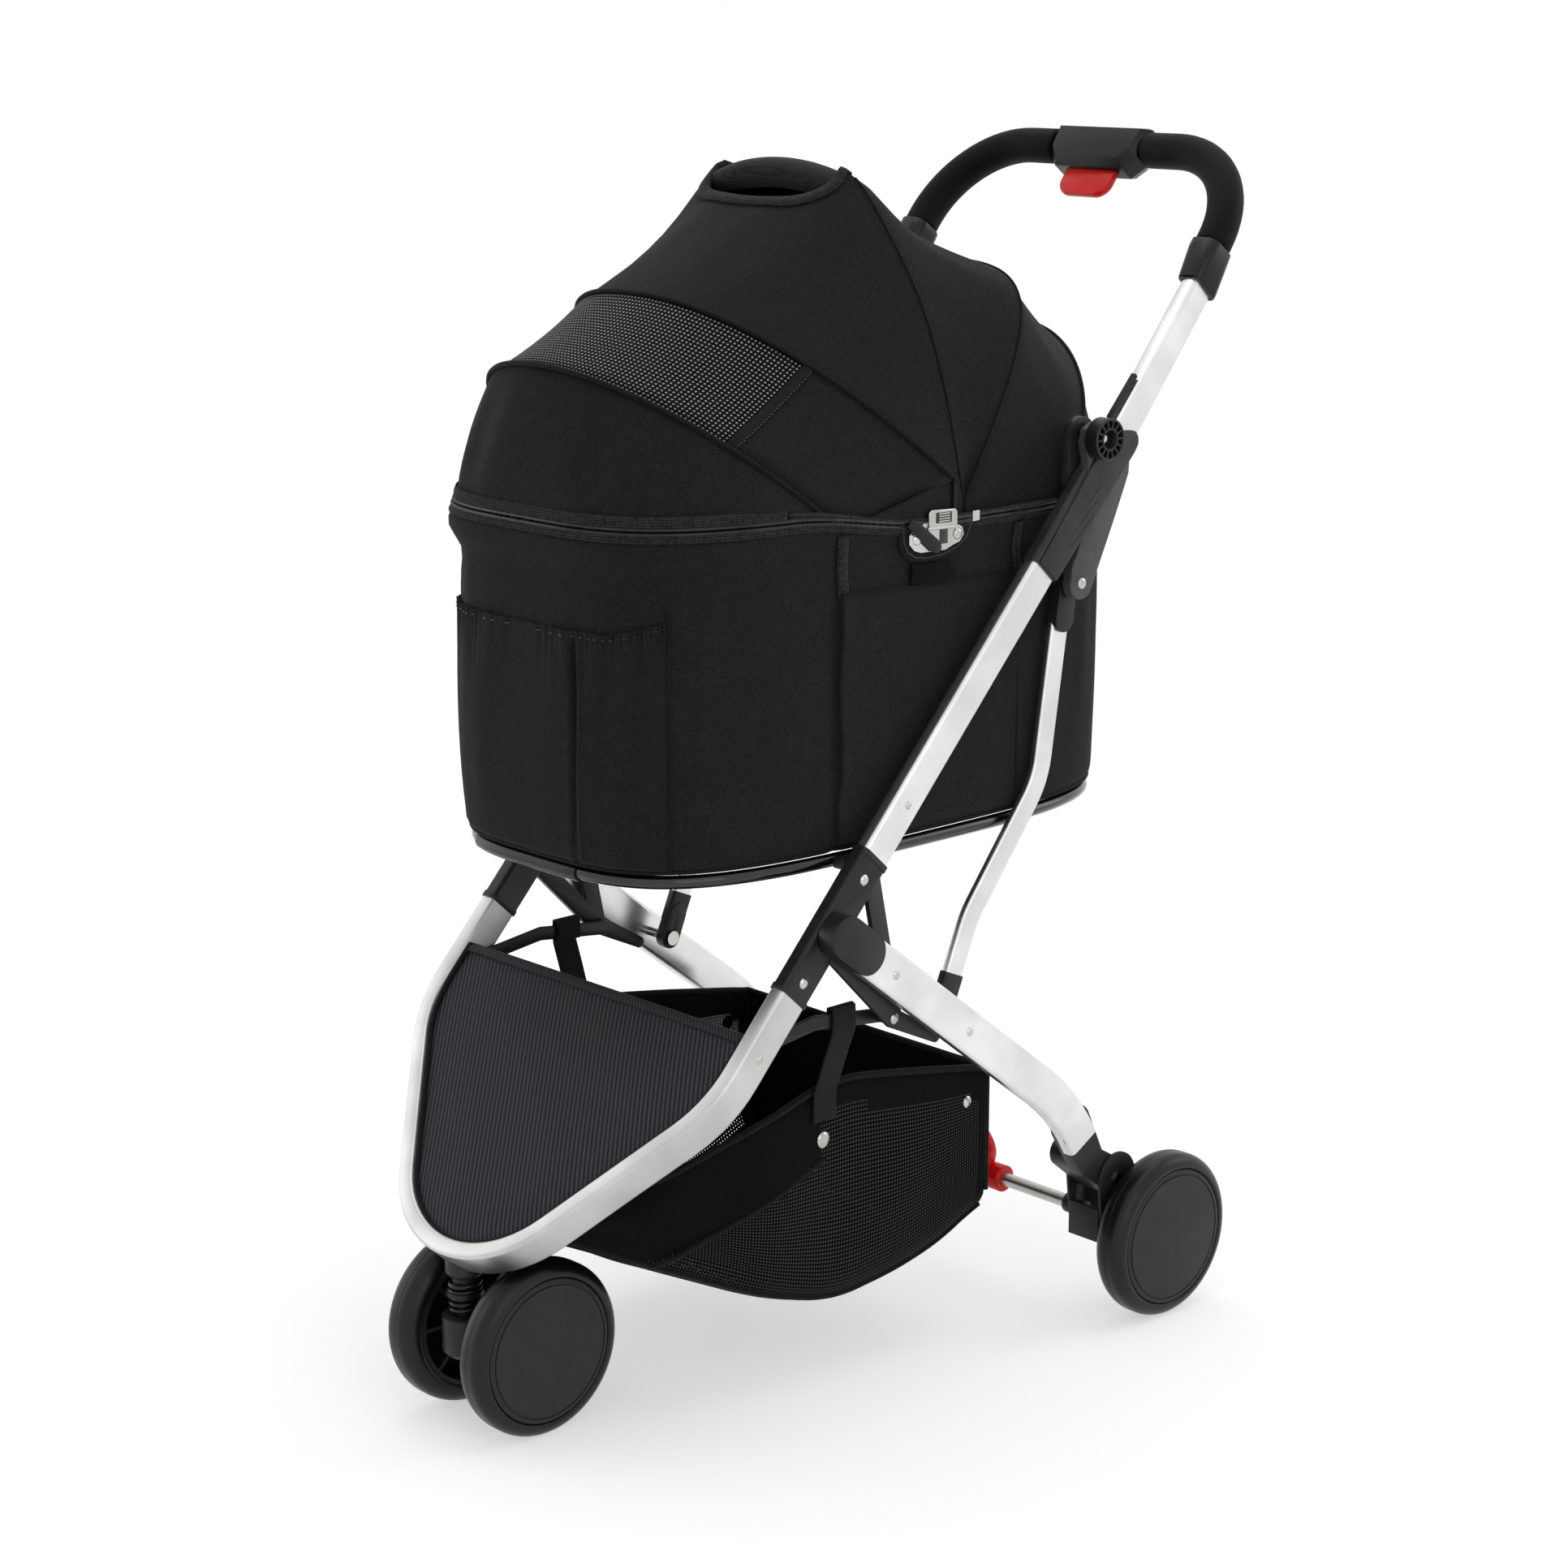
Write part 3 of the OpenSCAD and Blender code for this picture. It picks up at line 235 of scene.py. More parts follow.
def woven(name, dark, light, pitch, on_sheet=True, rough=0.9, sheen=0.05, depth=0.00025):
    """Woven polyester: over-and-under threads that catch light unevenly, in patches of about 12 mm.
    The real threads are about 0.4 mm; they are drawn as coarse as `pitch`, which is what still shows
    at this distance."""
    made, tree, shader = new_finish(name, Roughness=rough, Sheen_Weight=sheen, Sheen_Roughness=0.4,
                                    IOR=1.45, Specular_IOR_Level=0.12)
    where = coordinates(tree, "UV" if on_sheet else "Object")
    squares = put(tree, "ShaderNodeTexChecker", inputs={"Vector": where, "Scale": 1 / pitch})
    over = put(tree, "ShaderNodeMix", inputs={"Factor": squares.outputs["Fac"],
                                              2: threads(tree, where, "X", pitch),
                                              3: threads(tree, where, "Y", pitch)}).outputs[0]
    solid = coordinates(tree, "Object")
    cover = sums(tree, "MULTIPLY", over, noise(tree, solid, 1 / (pitch * 1.7), 2.0))
    tint = put(tree, "ShaderNodeMix", {"data_type": "RGBA", "blend_type": "MULTIPLY"},
               {"Factor": 1.0, 6: ramped(tree, cover, dark, light, 0.12, 0.55),
                7: mapped(tree, noise(tree, solid, 1 / 0.012, 3.0), 0.82, 1.12)})
    plug(tree, shader, Base_Color=tint.outputs[2], Normal=bumped(tree, cover, 0.6, depth))
    return made


def netted(name, dark, light, pitch, hole, tall=1.0):
    """Knitted polyester net: a lattice of thin cords round open holes, one hole each `pitch` metres.
    The hole is a share of the pitch, and whatever is behind shows through it; the cords are dark, with a
    pale painted highlight where they cross."""
    made, tree, shader = new_finish(name, Roughness=0.7, Sheen_Weight=0.02, IOR=1.45,
                                    Specular_IOR_Level=0.08)
    where = coordinates(tree, "UV")
    across, along = threads(tree, where, "X", pitch), threads(tree, where, "Y", pitch * tall)
    both = sums(tree, "MULTIPLY", across, along)
    # the crossings get the pale colour: a painted highlight on the knots
    knots = sums(tree, "MULTIPLY", *[sums(tree, "SUBTRACT", 1.0, run) for run in (across, along)])
    plug(tree, shader, Alpha=sums(tree, "LESS_THAN", both, 1 - hole),
         Base_Color=ramped(tree, knots, dark, light, 0.4, 0.85),
         Normal=bumped(tree, both, 0.6, 0.0004, invert=True))
    return made


def ribbed(name, dark, light, pitch, slant):
    """Heavy twill or grosgrain: raised cords that run across the cloth at a slant, with a painted
    highlight on their crowns and painted shade between, and every cord a little broken."""
    made, tree, shader = new_finish(name, Roughness=0.75, Sheen_Weight=0.05, IOR=1.45,
                                    Specular_IOR_Level=0.2)
    where = coordinates(tree, "UV")
    turned_round = put(tree, "ShaderNodeMapping", inputs={"Vector": where, "Rotation": (0, 0, slant)})
    cords = put(tree, "ShaderNodeTexWave", {"bands_direction": "Y"},
                {"Vector": turned_round.outputs["Vector"], "Scale": math.pi / 10 / pitch,
                 "Distortion": 1.6, "Detail": 2.0, "Detail Scale": 40.0})
    blend = put(tree, "ShaderNodeMix", inputs={"Factor": 0.35, 2: cords.outputs["Fac"],
                                               3: threads(tree, where, "X", pitch * 0.55)}).outputs[0]
    # dark between the cords and light on their crowns: painted shade and painted highlight
    plug(tree, shader, Base_Color=ramped(tree, blend, dark, light, 0.25, 0.85),
         Normal=bumped(tree, blend, 0.7, 0.0004))
    return made


def foamed(name, dark, light):
    """Closed-cell EVA foam: matt, with tiny cells open in the skin."""
    made, tree, shader = new_finish(name, Roughness=0.6, IOR=1.4, Sheen_Weight=0.02,
                                    Specular_IOR_Level=0.14)
    where = coordinates(tree, "Object")
    cells = put(tree, "ShaderNodeTexVoronoi", inputs={"Vector": where, "Scale": 900.0})
    plug(tree, shader, Base_Color=speckled(tree, where, 0.0016, dark, light),
         Normal=bumped(tree, cells.outputs["Distance"], 0.4, 0.0002))
    return made


FINISH = {
    # satin anodised 6061 tube, very pale, with faint drawing lines
    "anodised": metal("satin_anodised_aluminium", "#d8d8d6", "#e8e8e6", 0.3, (0.2, 0.2, 1)),
    # the bent front loop: the same satin anodised tube, its colour darkened as painted shade for the
    # loop's front-facing sides
    "anodised_painted_shade": metal("satin_anodised_tube_painted_shade", "#bcbcba", "#cbcbc9", 0.36, (0.2, 0.2, 1)),
    # zinc-plated axles and brake bar, a little yellower and rougher
    "zinc": metal("zinc_plated_steel", "#b4b3ae", "#cfcec9", 0.34, (1, 0.1, 1)),
    # nickel-plated rivet heads, snaps and clasps, almost a mirror
    "nickel": metal("nickel_plated_steel", "#b3b2ae", "#cccbc8", 0.18),
    # glass-filled nylon for brackets and joints: dark, half matt
    "nylon": moulded("glass_filled_nylon", "#222122", "#2a2929", 0.42),
    # the fold housings and levers are the same nylon, bleached greyer
    "grey_nylon": moulded("grey_glass_filled_nylon", "#2f2d2d", "#3a3838", 0.36),
    # glossy black acetal of the release housing and collars
    "black_abs": moulded("black_abs", "#080808", "#0e0d0e", 0.28),
    # red ABS of trigger and brake pedal, glossy and saturated
    "red_abs": moulded("glossy_red_abs", "#ee1a12", "#f4251b", 0.22, depth=0.00001),
    # powder coat on the tube ring under the tub: a wet-looking black
    "gloss_paint": moulded("gloss_black_powder_coat", "#0d0d0d", "#121212", 0.12, 0.002, 0.00002,
                           Coat_Weight=0.6),
    # satin powder coat on the basket rails
    "satin_paint": moulded("satin_black_powder_coat", "#1b1a1b", "#222122", 0.4, 0.001, 0.00003),
    # the long levers of the fold are cast in a paler grey nylon
    "lever_nylon": moulded("pale_grey_nylon", "#504d4d", "#5c5959", 0.42),
    # black oxide on the coil spring
    "spring": moulded("blackened_spring_steel", "#0f0f10", "#1a1a1b", 0.25, 0.001, 0.00002),
    "foam": foamed("eva_foam", "#0b0a0b", "#141315"),
    # solid EVA tyre: darker and smoother than the grip
    "tyre": moulded("solid_eva_tyre", "#121112", "#181718", 0.32, 0.0009, 0.00006),
    "hub": moulded("satin_polypropylene", "#232122", "#292728", 0.46, 0.0008, 0.00005),
    "canvas": woven("polyester_oxford_cloth", "#1a1a1b", "#3b3b3c", 0.0011),
    "canvas_loose": woven("polyester_oxford_cloth_padded", "#1c1c1d", "#363637", 0.0011, False),
    "handle_cloth": woven("soft_brushed_polyester", "#2b292c", "#413e43", 0.0012, False, 0.95, 0.12),
    "tape": woven("grosgrain_tape", "#1b1a1c", "#4d4b4f", 0.0019),
    "piping": woven("bias_piping", "#161617", "#2b2a2c", 0.0012, False, 0.8),
    # the ribbed finishes' pale colour is a painted highlight on the cord crowns, their dark one painted
    # shade between
    "webbing": ribbed("polypropylene_webbing", "#121113", "#262427", 0.0024, 0.0),
    "twill": ribbed("coated_twill", "#0d0c0e", "#524f56", 0.0042, math.radians(60)),
    "herringbone": ribbed("herringbone_hem", "#1b191c", "#454247", 0.0026, math.radians(45)),
    # each net's pale second colour is a painted highlight where its cords cross
    "window_net": netted("window_net", "#121112", "#bdbcbf", 0.0036, 0.12),
    "basket_net": netted("basket_net", "#0a090a", "#605e61", 0.0034, 0.3, 0.9),
    "basket_cloth": woven("basket_cloth", "#0a090a", "#19181a", 0.0013),
    "fleece": woven("mat_fleece", "#3d3c3e", "#59585b", 0.003, False, 1.0, 0.2, 0.0006),
    "coil": moulded("nylon_zip_coil", "#121112", "#343234", 0.35, 0.001, 0.00004),
    "velcro": woven("hook_tape", "#0b0b0c", "#1a191b", 0.0016, False, 1.0, 0.1, 0.0008),
}


# ---------------------------------------------------------------- handwork
def set_down():
    """Nothing stays selected, so the next tool acts on the new piece alone."""
    bpy.ops.object.select_all(action="DESELECT")


def pick_up(piece):
    """Selects one piece alone and makes it the active one."""
    set_down()
    piece.select_set(True)
    bpy.context.view_layer.objects.active = piece


def open_up(piece):
    pick_up(piece)
    bpy.ops.object.mode_set(mode="EDIT")


def choose_faces(test):
    """In edit mode, selects just the faces that pass the test."""
    bpy.ops.mesh.select_mode(type="FACE")
    bpy.ops.mesh.select_all(action="DESELECT")
    mesh = bmesh.from_edit_mesh(bpy.context.object.data)
    for face in mesh.faces:
        face.select = bool(test(face))
    mesh.select_flush_mode()
    bmesh.update_edit_mesh(bpy.context.object.data)


def close_up():
    """Merges what touches, turns the faces outwards and leaves edit mode."""
    bpy.ops.mesh.select_mode(type="VERT")
    bpy.ops.mesh.select_all(action="SELECT")
    bpy.ops.mesh.remove_doubles(threshold=0.000005)
    bpy.ops.mesh.normals_make_consistent(inside=False)
    bpy.ops.object.mode_set(mode="OBJECT")
    return bpy.context.object


def fix(piece, kind, **settings):
    """Adds a modifier and applies it at once."""
    pick_up(piece)
    tool = piece.modifiers.new(kind.lower(), kind)
    for name, value in settings.items():
        setattr(tool, name, value)
    bpy.ops.object.modifier_apply(modifier=tool.name)


def bevel(piece, width, segments, angle):
    """Breaks every edge that turns by more than the angle in degrees."""
    fix(piece, "BEVEL", width=width * MM, segments=segments, limit_method="ANGLE",
        angle_limit=math.radians(angle))


def smooth(piece, angle):
    pick_up(piece)
    bpy.ops.object.shade_smooth_by_angle(angle=math.radians(angle))
    return piece


def outline(name, points, closed=True):
    """A line drawn by pulling one vertex on from the last, left selected in edit mode; a closed one is
    filled."""
    set_down()
    bpy.ops.mesh.primitive_plane_add(size=0.001, location=points[0])
    piece = bpy.context.object
    piece.name = piece.data.name = name
    bpy.ops.object.transform_apply(location=True, rotation=True, scale=True)
    bpy.ops.object.mode_set(mode="EDIT")
    bpy.ops.mesh.merge(type="CENTER")
    for here, there in zip(points, points[1:] + (points[:1] if closed else [])):
        bpy.ops.mesh.extrude_region_move(TRANSFORM_OT_translate={"value": there - here})
    bpy.ops.mesh.select_all(action="SELECT")
    if closed:
        bpy.ops.mesh.remove_doubles(threshold=0.000002)
        bpy.ops.mesh.edge_face_add()


def push(step):
    bpy.ops.mesh.extrude_region_move(TRANSFORM_OT_translate={"value": step})


def swept(name, line, step):
    """A closed line filled and pushed on by a step."""
    outline(name, line)
    bpy.ops.mesh.select_all(action="SELECT")
    push(step)
    return close_up()


def follow(start, ahead, across, moves):
    """Draws the selected end on along a flat path: a length in millimetres, or (degrees, radius) for a
    bend about the axis across."""
    place, ahead, across = Vector(start), Vector(ahead).normalized(), Vector(across).normalized()
    for move in moves:
        if isinstance(move, tuple):
            angle = math.radians(move[0])
            hub = place + across.cross(ahead) * math.copysign(move[1] * MM, angle)
            bpy.ops.mesh.spin(steps=max(3, round(abs(move[0]) / 5)), angle=-angle, center=hub,
                              axis=across)
            turn = Matrix.Rotation(angle, 3, across)
            place = hub + turn @ (place - hub)
            ahead = turn @ ahead
        else:
            push(ahead * move * MM)
            place = place + ahead * move * MM


def section(centre, wide, tall, corner, u, v, steps=4, notch=None):
    """A rounded rectangle of points round centre, wide along u and tall along v, in millimetres."""
    centre, u, v = Vector(centre), Vector(u), Vector(v)
    points = []
    for sx, sy, first in ((1, 1, 0), (-1, 1, 90), (-1, -1, 180), (1, -1, 270)):
        middle = (sx * (wide / 2 - corner), sy * (tall / 2 - corner))
        points += arc(middle, corner, first, first + 90, steps)
    if notch:
        place, deep, half = notch
        points += [(wide / 2, place - half), (wide / 2 - deep, place), (wide / 2, place + half)]
    return [centre + u * (x * MM) + v * (y * MM) for x, y in points]


def turned(name, profile, centre, axis, steps, closed=False):
    """A piece from the lathe: (radius, height) points in millimetres spun round an axis."""
    axis = Vector(axis).normalized()
    side = axis.orthogonal().normalized()
    points = [Vector(centre) + side * (r * MM) + axis * (h * MM) for r, h in profile]
    outline(name, points, closed)
    if closed:
        bpy.ops.mesh.delete(type="ONLY_FACE")
    bpy.ops.mesh.select_all(action="SELECT")
    bpy.ops.mesh.spin(steps=steps, angle=2 * math.pi, center=centre, axis=axis)
    return close_up()


def piping(name, points, radius, closed=False, sides=8):
    """A round cord sewn along a line of points."""
    set_down()
    curve = bpy.data.curves.new(name, "CURVE")
    curve.dimensions = "3D"
    run = curve.splines.new("POLY")
    run.points.add(len(points) - 1)
    for spot, point in zip(run.points, points):
        spot.co = (*point, 1)
    run.use_cyclic_u = closed
    curve.bevel_depth = radius * MM
    curve.bevel_resolution = max(1, sides // 4)
    curve.use_fill_caps = not closed
    piece = bpy.data.objects.new(name, curve)
    bpy.context.scene.collection.objects.link(piece)
    pick_up(piece)
    bpy.ops.object.convert(target="MESH")
    piece = bpy.context.object
    bpy.ops.object.shade_smooth()
    return piece


def cloth(name, rows, round_about=False):
    """A sheet laid on rows of points, its UV map in metres of real cloth both ways."""
    wide, long = len(rows[0]), len(rows)
    set_down()
    bpy.ops.mesh.primitive_grid_add(x_subdivisions=wide - 1, y_subdivisions=long - 1, size=1)
    piece = bpy.context.object
    piece.name = piece.data.name = name
    for j, row in enumerate(rows):
        for i, point in enumerate(row):
            piece.data.vertices[j * wide + i].co = point
    middle = rows[long // 2]
    u = [0.0]
    for a, b in zip(middle, middle[1:]):
        u.append(u[-1] + (b - a).length)
    v = [0.0]
    half = wide // 2
    for a, b in zip(rows, rows[1:]):
        v.append(v[-1] + (b[half] - a[half]).length)
    layer = piece.data.uv_layers.active.data
    for loop in piece.data.loops:
        j, i = divmod(loop.vertex_index, wide)
        layer[loop.index].uv = (u[i], v[j])
    if round_about:
        open_up(piece)
        close_up()
    pick_up(piece)
    bpy.ops.object.shade_smooth()
    return piece


def thicken(piece, thick, offset=-1.0):
    open_up(piece)
    close_up()
    fix(piece, "SOLIDIFY", thickness=thick * MM, offset=offset, use_even_offset=False)


def copied(thing, name):
    """A loose copy of a piece or node, with its own mesh and none of its marks."""
    set_down()
    twin = thing.copy()
    twin.data = thing.data.copy()
    for key in list(twin.keys()):
        del twin[key]
    twin.parent = None
    bpy.context.scene.collection.objects.link(twin)
    twin.matrix_world = Matrix.Identity(4)
    twin.name = twin.data.name = name
    return twin


def eased(node, width):
    """A merged copy of a rigid node with its edges broken, as a mould leaves them."""
    piece = copied(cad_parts[node], node + "_eased")
    piece.data.materials.clear()
    open_up(piece)
    bpy.ops.mesh.select_all(action="SELECT")
    bpy.ops.mesh.remove_doubles(threshold=0.00001)
    bpy.ops.mesh.dissolve_limited(angle_limit=math.radians(2))
    bpy.ops.object.mode_set(mode="OBJECT")
    bevel(piece, width, 2, 30)
    return smooth(piece, 40)


def finish(piece, material, body, slot, *stands_for):
    """Gives a piece its material and its body if it has one only, and hides the nodes it stands for; the
    slot is not used.
    """
    piece.data.materials.clear()
    piece.data.materials.append(FINISH[material])
    if body:
        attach(piece, body)
    if stands_for:
        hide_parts(*stands_for)


def cord(name, line, radius, body="carrier", slot="canvas", material="piping", **more):
    """A finished length of piping; by default one that is sewn to the carrier."""
    finish(piping(name, line, radius, **more), material, body, slot)


def mirrored(piece, name):
    """The same piece on the other side of the middle plane, with its own mesh."""
    twin = copied(piece, name)
    open_up(twin)
    bpy.ops.mesh.select_all(action="SELECT")
    bpy.ops.transform.mirror(constraint_axis=(True, False, False), center_override=(0, 0, 0))
    bpy.ops.mesh.flip_normals()
    bpy.ops.object.mode_set(mode="OBJECT")
    return twin


def both_sides(piece, name, material, body, slot, *stands_for):
    """Finishes a left piece and its mirrored twin; a node that stands on each side is named by its
    left. The name gets its side at its end, or where it has {}."""
    name = name if "{}" in name else name + "_{}"
    twin = mirrored(piece, name.format("right"))
    piece.name = piece.data.name = name.format("left")
    finish(piece, material, body, slot, *stands_for)
    finish(twin, material, body, slot, *[node.replace("_left", "_right") for node in stands_for
                                         if node.endswith("_left")])


def joined(name, pieces):
    """Several finished meshes as one piece."""
    set_down()
    for piece in pieces:
        piece.select_set(True)
    bpy.context.view_layer.objects.active = pieces[0]
    bpy.ops.object.join()
    made = bpy.context.object
    made.name = made.data.name = name
    return made


# ---------------------------------------------------------------- the side view's places, in mm
SLOPE = math.radians(47.5)
ALONG = Vector((0, math.cos(SLOPE), math.sin(SLOPE)))
AHEAD = Vector((0, -math.sin(SLOPE), math.cos(SLOPE)))
ACROSS = Vector((1, 0, 0))
SIDE_X, TUBE_W, TUBE_T = 181, 30, 15
BRACKET_LEN, MAIN_LEN, HOUSING_LEN = 133, 278, 147
HOUSING_START = BRACKET_LEN + MAIN_LEN
HOUSING_END = HOUSING_START + HOUSING_LEN


def on_tube(t, s=0.0, x=SIDE_X):
    """A place t mm up the left side tube and s mm in front of its middle line."""
    return at(x, -165, 361) + (ALONG * t + AHEAD * s) * MM


LEG_PIVOT = on_tube(62, 0, 0)
LEG_SLOPE, FOOT_SLOPE = math.radians(37.6), math.radians(60.5)


def on_leg(t, x=198.5):
    return LEG_PIVOT + Vector((x, t * math.cos(LEG_SLOPE), -t * math.sin(LEG_SLOPE))) * MM


def wrapped(a):
    return (a + math.pi) % (2 * math.pi) - math.pi


def moves_of(points, radius):
    """The straights and bends of a path of corners in a plane, each corner bent to the radius."""
    moves, spare = [], 0.0
    for i in range(1, len(points)):
        (a, b), (c, d) = points[i - 1], points[i]
        turn = cut = 0.0
        if i < len(points) - 1:
            e, f = points[i + 1]
            turn = wrapped(math.atan2(f - d, e - c) - math.atan2(d - b, c - a))
            cut = radius * math.tan(abs(turn) / 2)
        moves.append(math.hypot(c - a, d - b) - spare - cut)
        if turn:
            moves.append((math.degrees(turn), radius))
        spare = cut
    return moves


def pipe(name, ring, start, ahead, across, moves, ease=0.0):
    """A tube drawn from its end section along its path; ease rounds the two cut ends."""
    outline(name, ring)
    bpy.ops.mesh.select_all(action="SELECT")
    follow(start, ahead, across, moves)
    piece = close_up()
    if ease:
        bevel(piece, ease, 3, 60)
    return smooth(piece, 40)


# ---------------------------------------------------------------- silver tubes
NECK_TURN = math.radians(35)
LOOP_STRAIGHT, LOOP_R = 106, 107
LOOP = [(SIDE_X, 0), (SIDE_X, -LOOP_STRAIGHT), (0, -LOOP_STRAIGHT - SIDE_X / math.tan(NECK_TURN)),
        (-SIDE_X, -LOOP_STRAIGHT), (-SIDE_X, 0)]
loop = pipe("front_loop_tube", section(on_tube(0), TUBE_T, TUBE_W, 3.4, ACROSS, AHEAD),
            on_tube(0), -ALONG, AHEAD, moves_of(LOOP, LOOP_R))
# the loop gets the darker anodised colour: painted shade on its front faces
finish(loop, "anodised_painted_shade", "front_frame", "anodised_frame", "front_loop")

main = pipe("main_tube",
            section(on_tube(BRACKET_LEN), TUBE_T, TUBE_W, 4.6, ACROSS, AHEAD, notch=(9.6, 0.7, 0.6)),
            on_tube(BRACKET_LEN), ALONG, ACROSS, [MAIN_LEN])
both_sides(main, "main_tube_{}_drawn", "anodised", "front_frame", "anodised_frame", "main_tube_left")

LEAN = math.radians(3.2)
UPPER = ALONG * math.cos(LEAN) - ACROSS * math.sin(LEAN)
UPPER_SIDE = ACROSS * math.cos(LEAN) + ALONG * math.sin(LEAN)
upper_foot = on_tube(HOUSING_END) - UPPER * 8 * MM
upper = pipe("upper_tube",
             section(upper_foot, 17, 28, 6.2, UPPER_SIDE, AHEAD, notch=(7.0, 0.7, 0.6)),
             upper_foot, UPPER, AHEAD, [157])
both_sides(upper, "upper_tube_{}_drawn", "anodised", "handle", "anodised_frame", "upper_tube_left")

leg_dir = Vector((0, math.cos(LEG_SLOPE), -math.sin(LEG_SLOPE)))
leg_up = Vector((0, math.sin(LEG_SLOPE), math.cos(LEG_SLOPE)))
LEG_TOP, KNEE, FOOT, LEG_R = 20, 329, 42, 190
bend = FOOT_SLOPE - LEG_SLOPE
leg_line = [(0, 0), (KNEE - LEG_TOP, 0),
            (KNEE - LEG_TOP + FOOT * math.cos(bend), -FOOT * math.sin(bend))]
leg = pipe("rear_leg", section(on_leg(LEG_TOP), 14, 34.5, 4.2, ACROSS, leg_up),
           on_leg(LEG_TOP), leg_dir, ACROSS, moves_of(leg_line, LEG_R))
both_sides(leg, "rear_leg_{}_drawn", "anodised", "rear_legs", "anodised_frame", "rear_leg_left")

fold = on_tube(HOUSING_END - 31, 26, 0)
LEVER_LEN, LEVER_TURN = 118.7, math.radians(-97.5)
lever_end = fold + Vector((0, math.cos(LEVER_TURN), math.sin(LEVER_TURN))) * LEVER_LEN * MM
brace_foot = on_leg(174, 0)
BRACE_X = 168.5
knots = [(lever_end.y / MM - SHIFT, lever_end.z / MM), (131, 485), (50, 383),
         (brace_foot.y / MM - SHIFT, brace_foot.z / MM)]


def shorter(a, b, d):
    """The point d mm from a towards b."""
    long = math.hypot(b[0] - a[0], b[1] - a[1])
    return (a[0] + (b[0] - a[0]) * d / long, a[1] + (b[1] - a[1]) * d / long)


brace_line = [shorter(knots[0], knots[1], 24), knots[1], knots[2], shorter(knots[3], knots[2], 14)]
down = Vector((0, knots[1][0] - knots[0][0], knots[1][1] - knots[0][1])).normalized()
brace = pipe("rear_brace",
             section(at(BRACE_X, *brace_line[0]), 7.5, 20, 2.6, ACROSS, ACROSS.cross(down)),
             at(BRACE_X, *brace_line[0]), down, ACROSS, moves_of(brace_line, 75))
both_sides(brace, "rear_brace_{}_drawn", "anodised", "rear_braces", "anodised_frame", "rear_brace_left")
brace_end = at(BRACE_X, *brace_line[3])
upwards = Vector((0, knots[2][0] - knots[3][0], knots[2][1] - knots[3][1])).normalized()
ferrule = pipe("brace_ferrule", section(brace_end, 9.5, 22.5, 3, ACROSS, ACROSS.cross(upwards)),
               brace_end, upwards, ACROSS, [27], 0.8)
both_sides(ferrule, "brace_ferrule", "nylon", "rear_braces", "black_plastic")

# ---------------------------------------------------------------- grip
GRIP_SLOPE, GRIP_X, GRIP_RISE, GRIP_R, FOAM_R = math.radians(52.8), 171.5, 92.5, 86, 15.5
grip_up = Vector((0, math.cos(GRIP_SLOPE), math.sin(GRIP_SLOPE)))
grip_front = ACROSS.cross(grip_up)
grip_foot = on_tube(HOUSING_END + 149, 0, 0) + Vector((0, 17, 29)) * MM


def on_grip(x, t, out=0.0):
    """A place in the grip's plane: across, up its slope, and out of the plane towards the front."""
    return grip_foot + Vector((x, 0, 0)) * MM + (grip_up * t + grip_front * out) * MM


RELEASE = 53
foam = pipe("foam_grip_left", section(on_grip(GRIP_X, 0), 2 * FOAM_R, 2 * FOAM_R, FOAM_R, ACROSS,
                                      grip_front, 6),
            on_grip(GRIP_X, 0), grip_up, grip_front,
            moves_of([(GRIP_X, 0), (GRIP_X, GRIP_RISE), (RELEASE - 1, GRIP_RISE)], GRIP_R), 3.0)
foam = joined("foam_grip_sleeve", [foam, mirrored(foam, "foam_grip_right")])
finish(foam, "foam", "handle", "foam", "foam_grip")

# the release housing: a faceted shell in two halves, wedge-shaped below
ridge = [(-RELEASE, 15.6), (-RELEASE + 6, 17), (RELEASE - 6, 17), (RELEASE, 15.6), (RELEASE - 3, -12),
         (39, -25), (-39, -25), (3 - RELEASE, -12)]
outline("release_housing_shell", [on_grip(x, GRIP_RISE + t, -8) for x, t in ridge])
bpy.ops.mesh.select_all(action="SELECT")
push(grip_front * 16 * MM)
for way in (1, -1):
    choose_faces(lambda face: face.normal.dot(grip_front) * way > 0.9)
    bpy.ops.mesh.inset(thickness=0.006, depth=0.0085)
shell = close_up()
bevel(shell, 1.1, 3, 14)
smooth(shell, 50)
finish(shell, "black_abs", "handle", "black_plastic", "release_housing")

# ---------------------------------------------------------------- moulded parts with broken edges
for node, width, material, body, slot in (
        ("bracket_left", 0.9, "nylon", "front_frame", "black_plastic"),
        ("bracket_right", 0.9, "nylon", "front_frame", "black_plastic"),
        ("joint_housing_left", 0.8, "grey_nylon", "front_frame", "grey_plastic"),
        ("joint_housing_right", 0.8, "grey_nylon", "front_frame", "grey_plastic"),
        ("basket_rails", 0.8, "satin_paint", "front_frame", "painted_steel"),
        ("fold_trigger", 2.2, "red_abs", "trigger", "red_plastic"),
        ("leg_caps", 2.4, "nylon", "rear_legs", "black_plastic"),
        ("leg_ends", 1.6, "nylon", "rear_legs", "black_plastic"),
        ("axle_brackets", 0.5, "nylon", "rear_legs", "grey_plastic"),
        ("brake_pedal", 1.4, "red_abs", "brake", "red_plastic"),
        ("brake_collars", 0.8, "nylon", "brake", "black_plastic"),
        ("brace_ends", 1.4, "nylon", "rear_braces", "black_plastic"),
        ("caster_fork", 1.2, "nylon", "fork", "black_plastic")):
    finish(eased(node, width), material, body, slot, node)

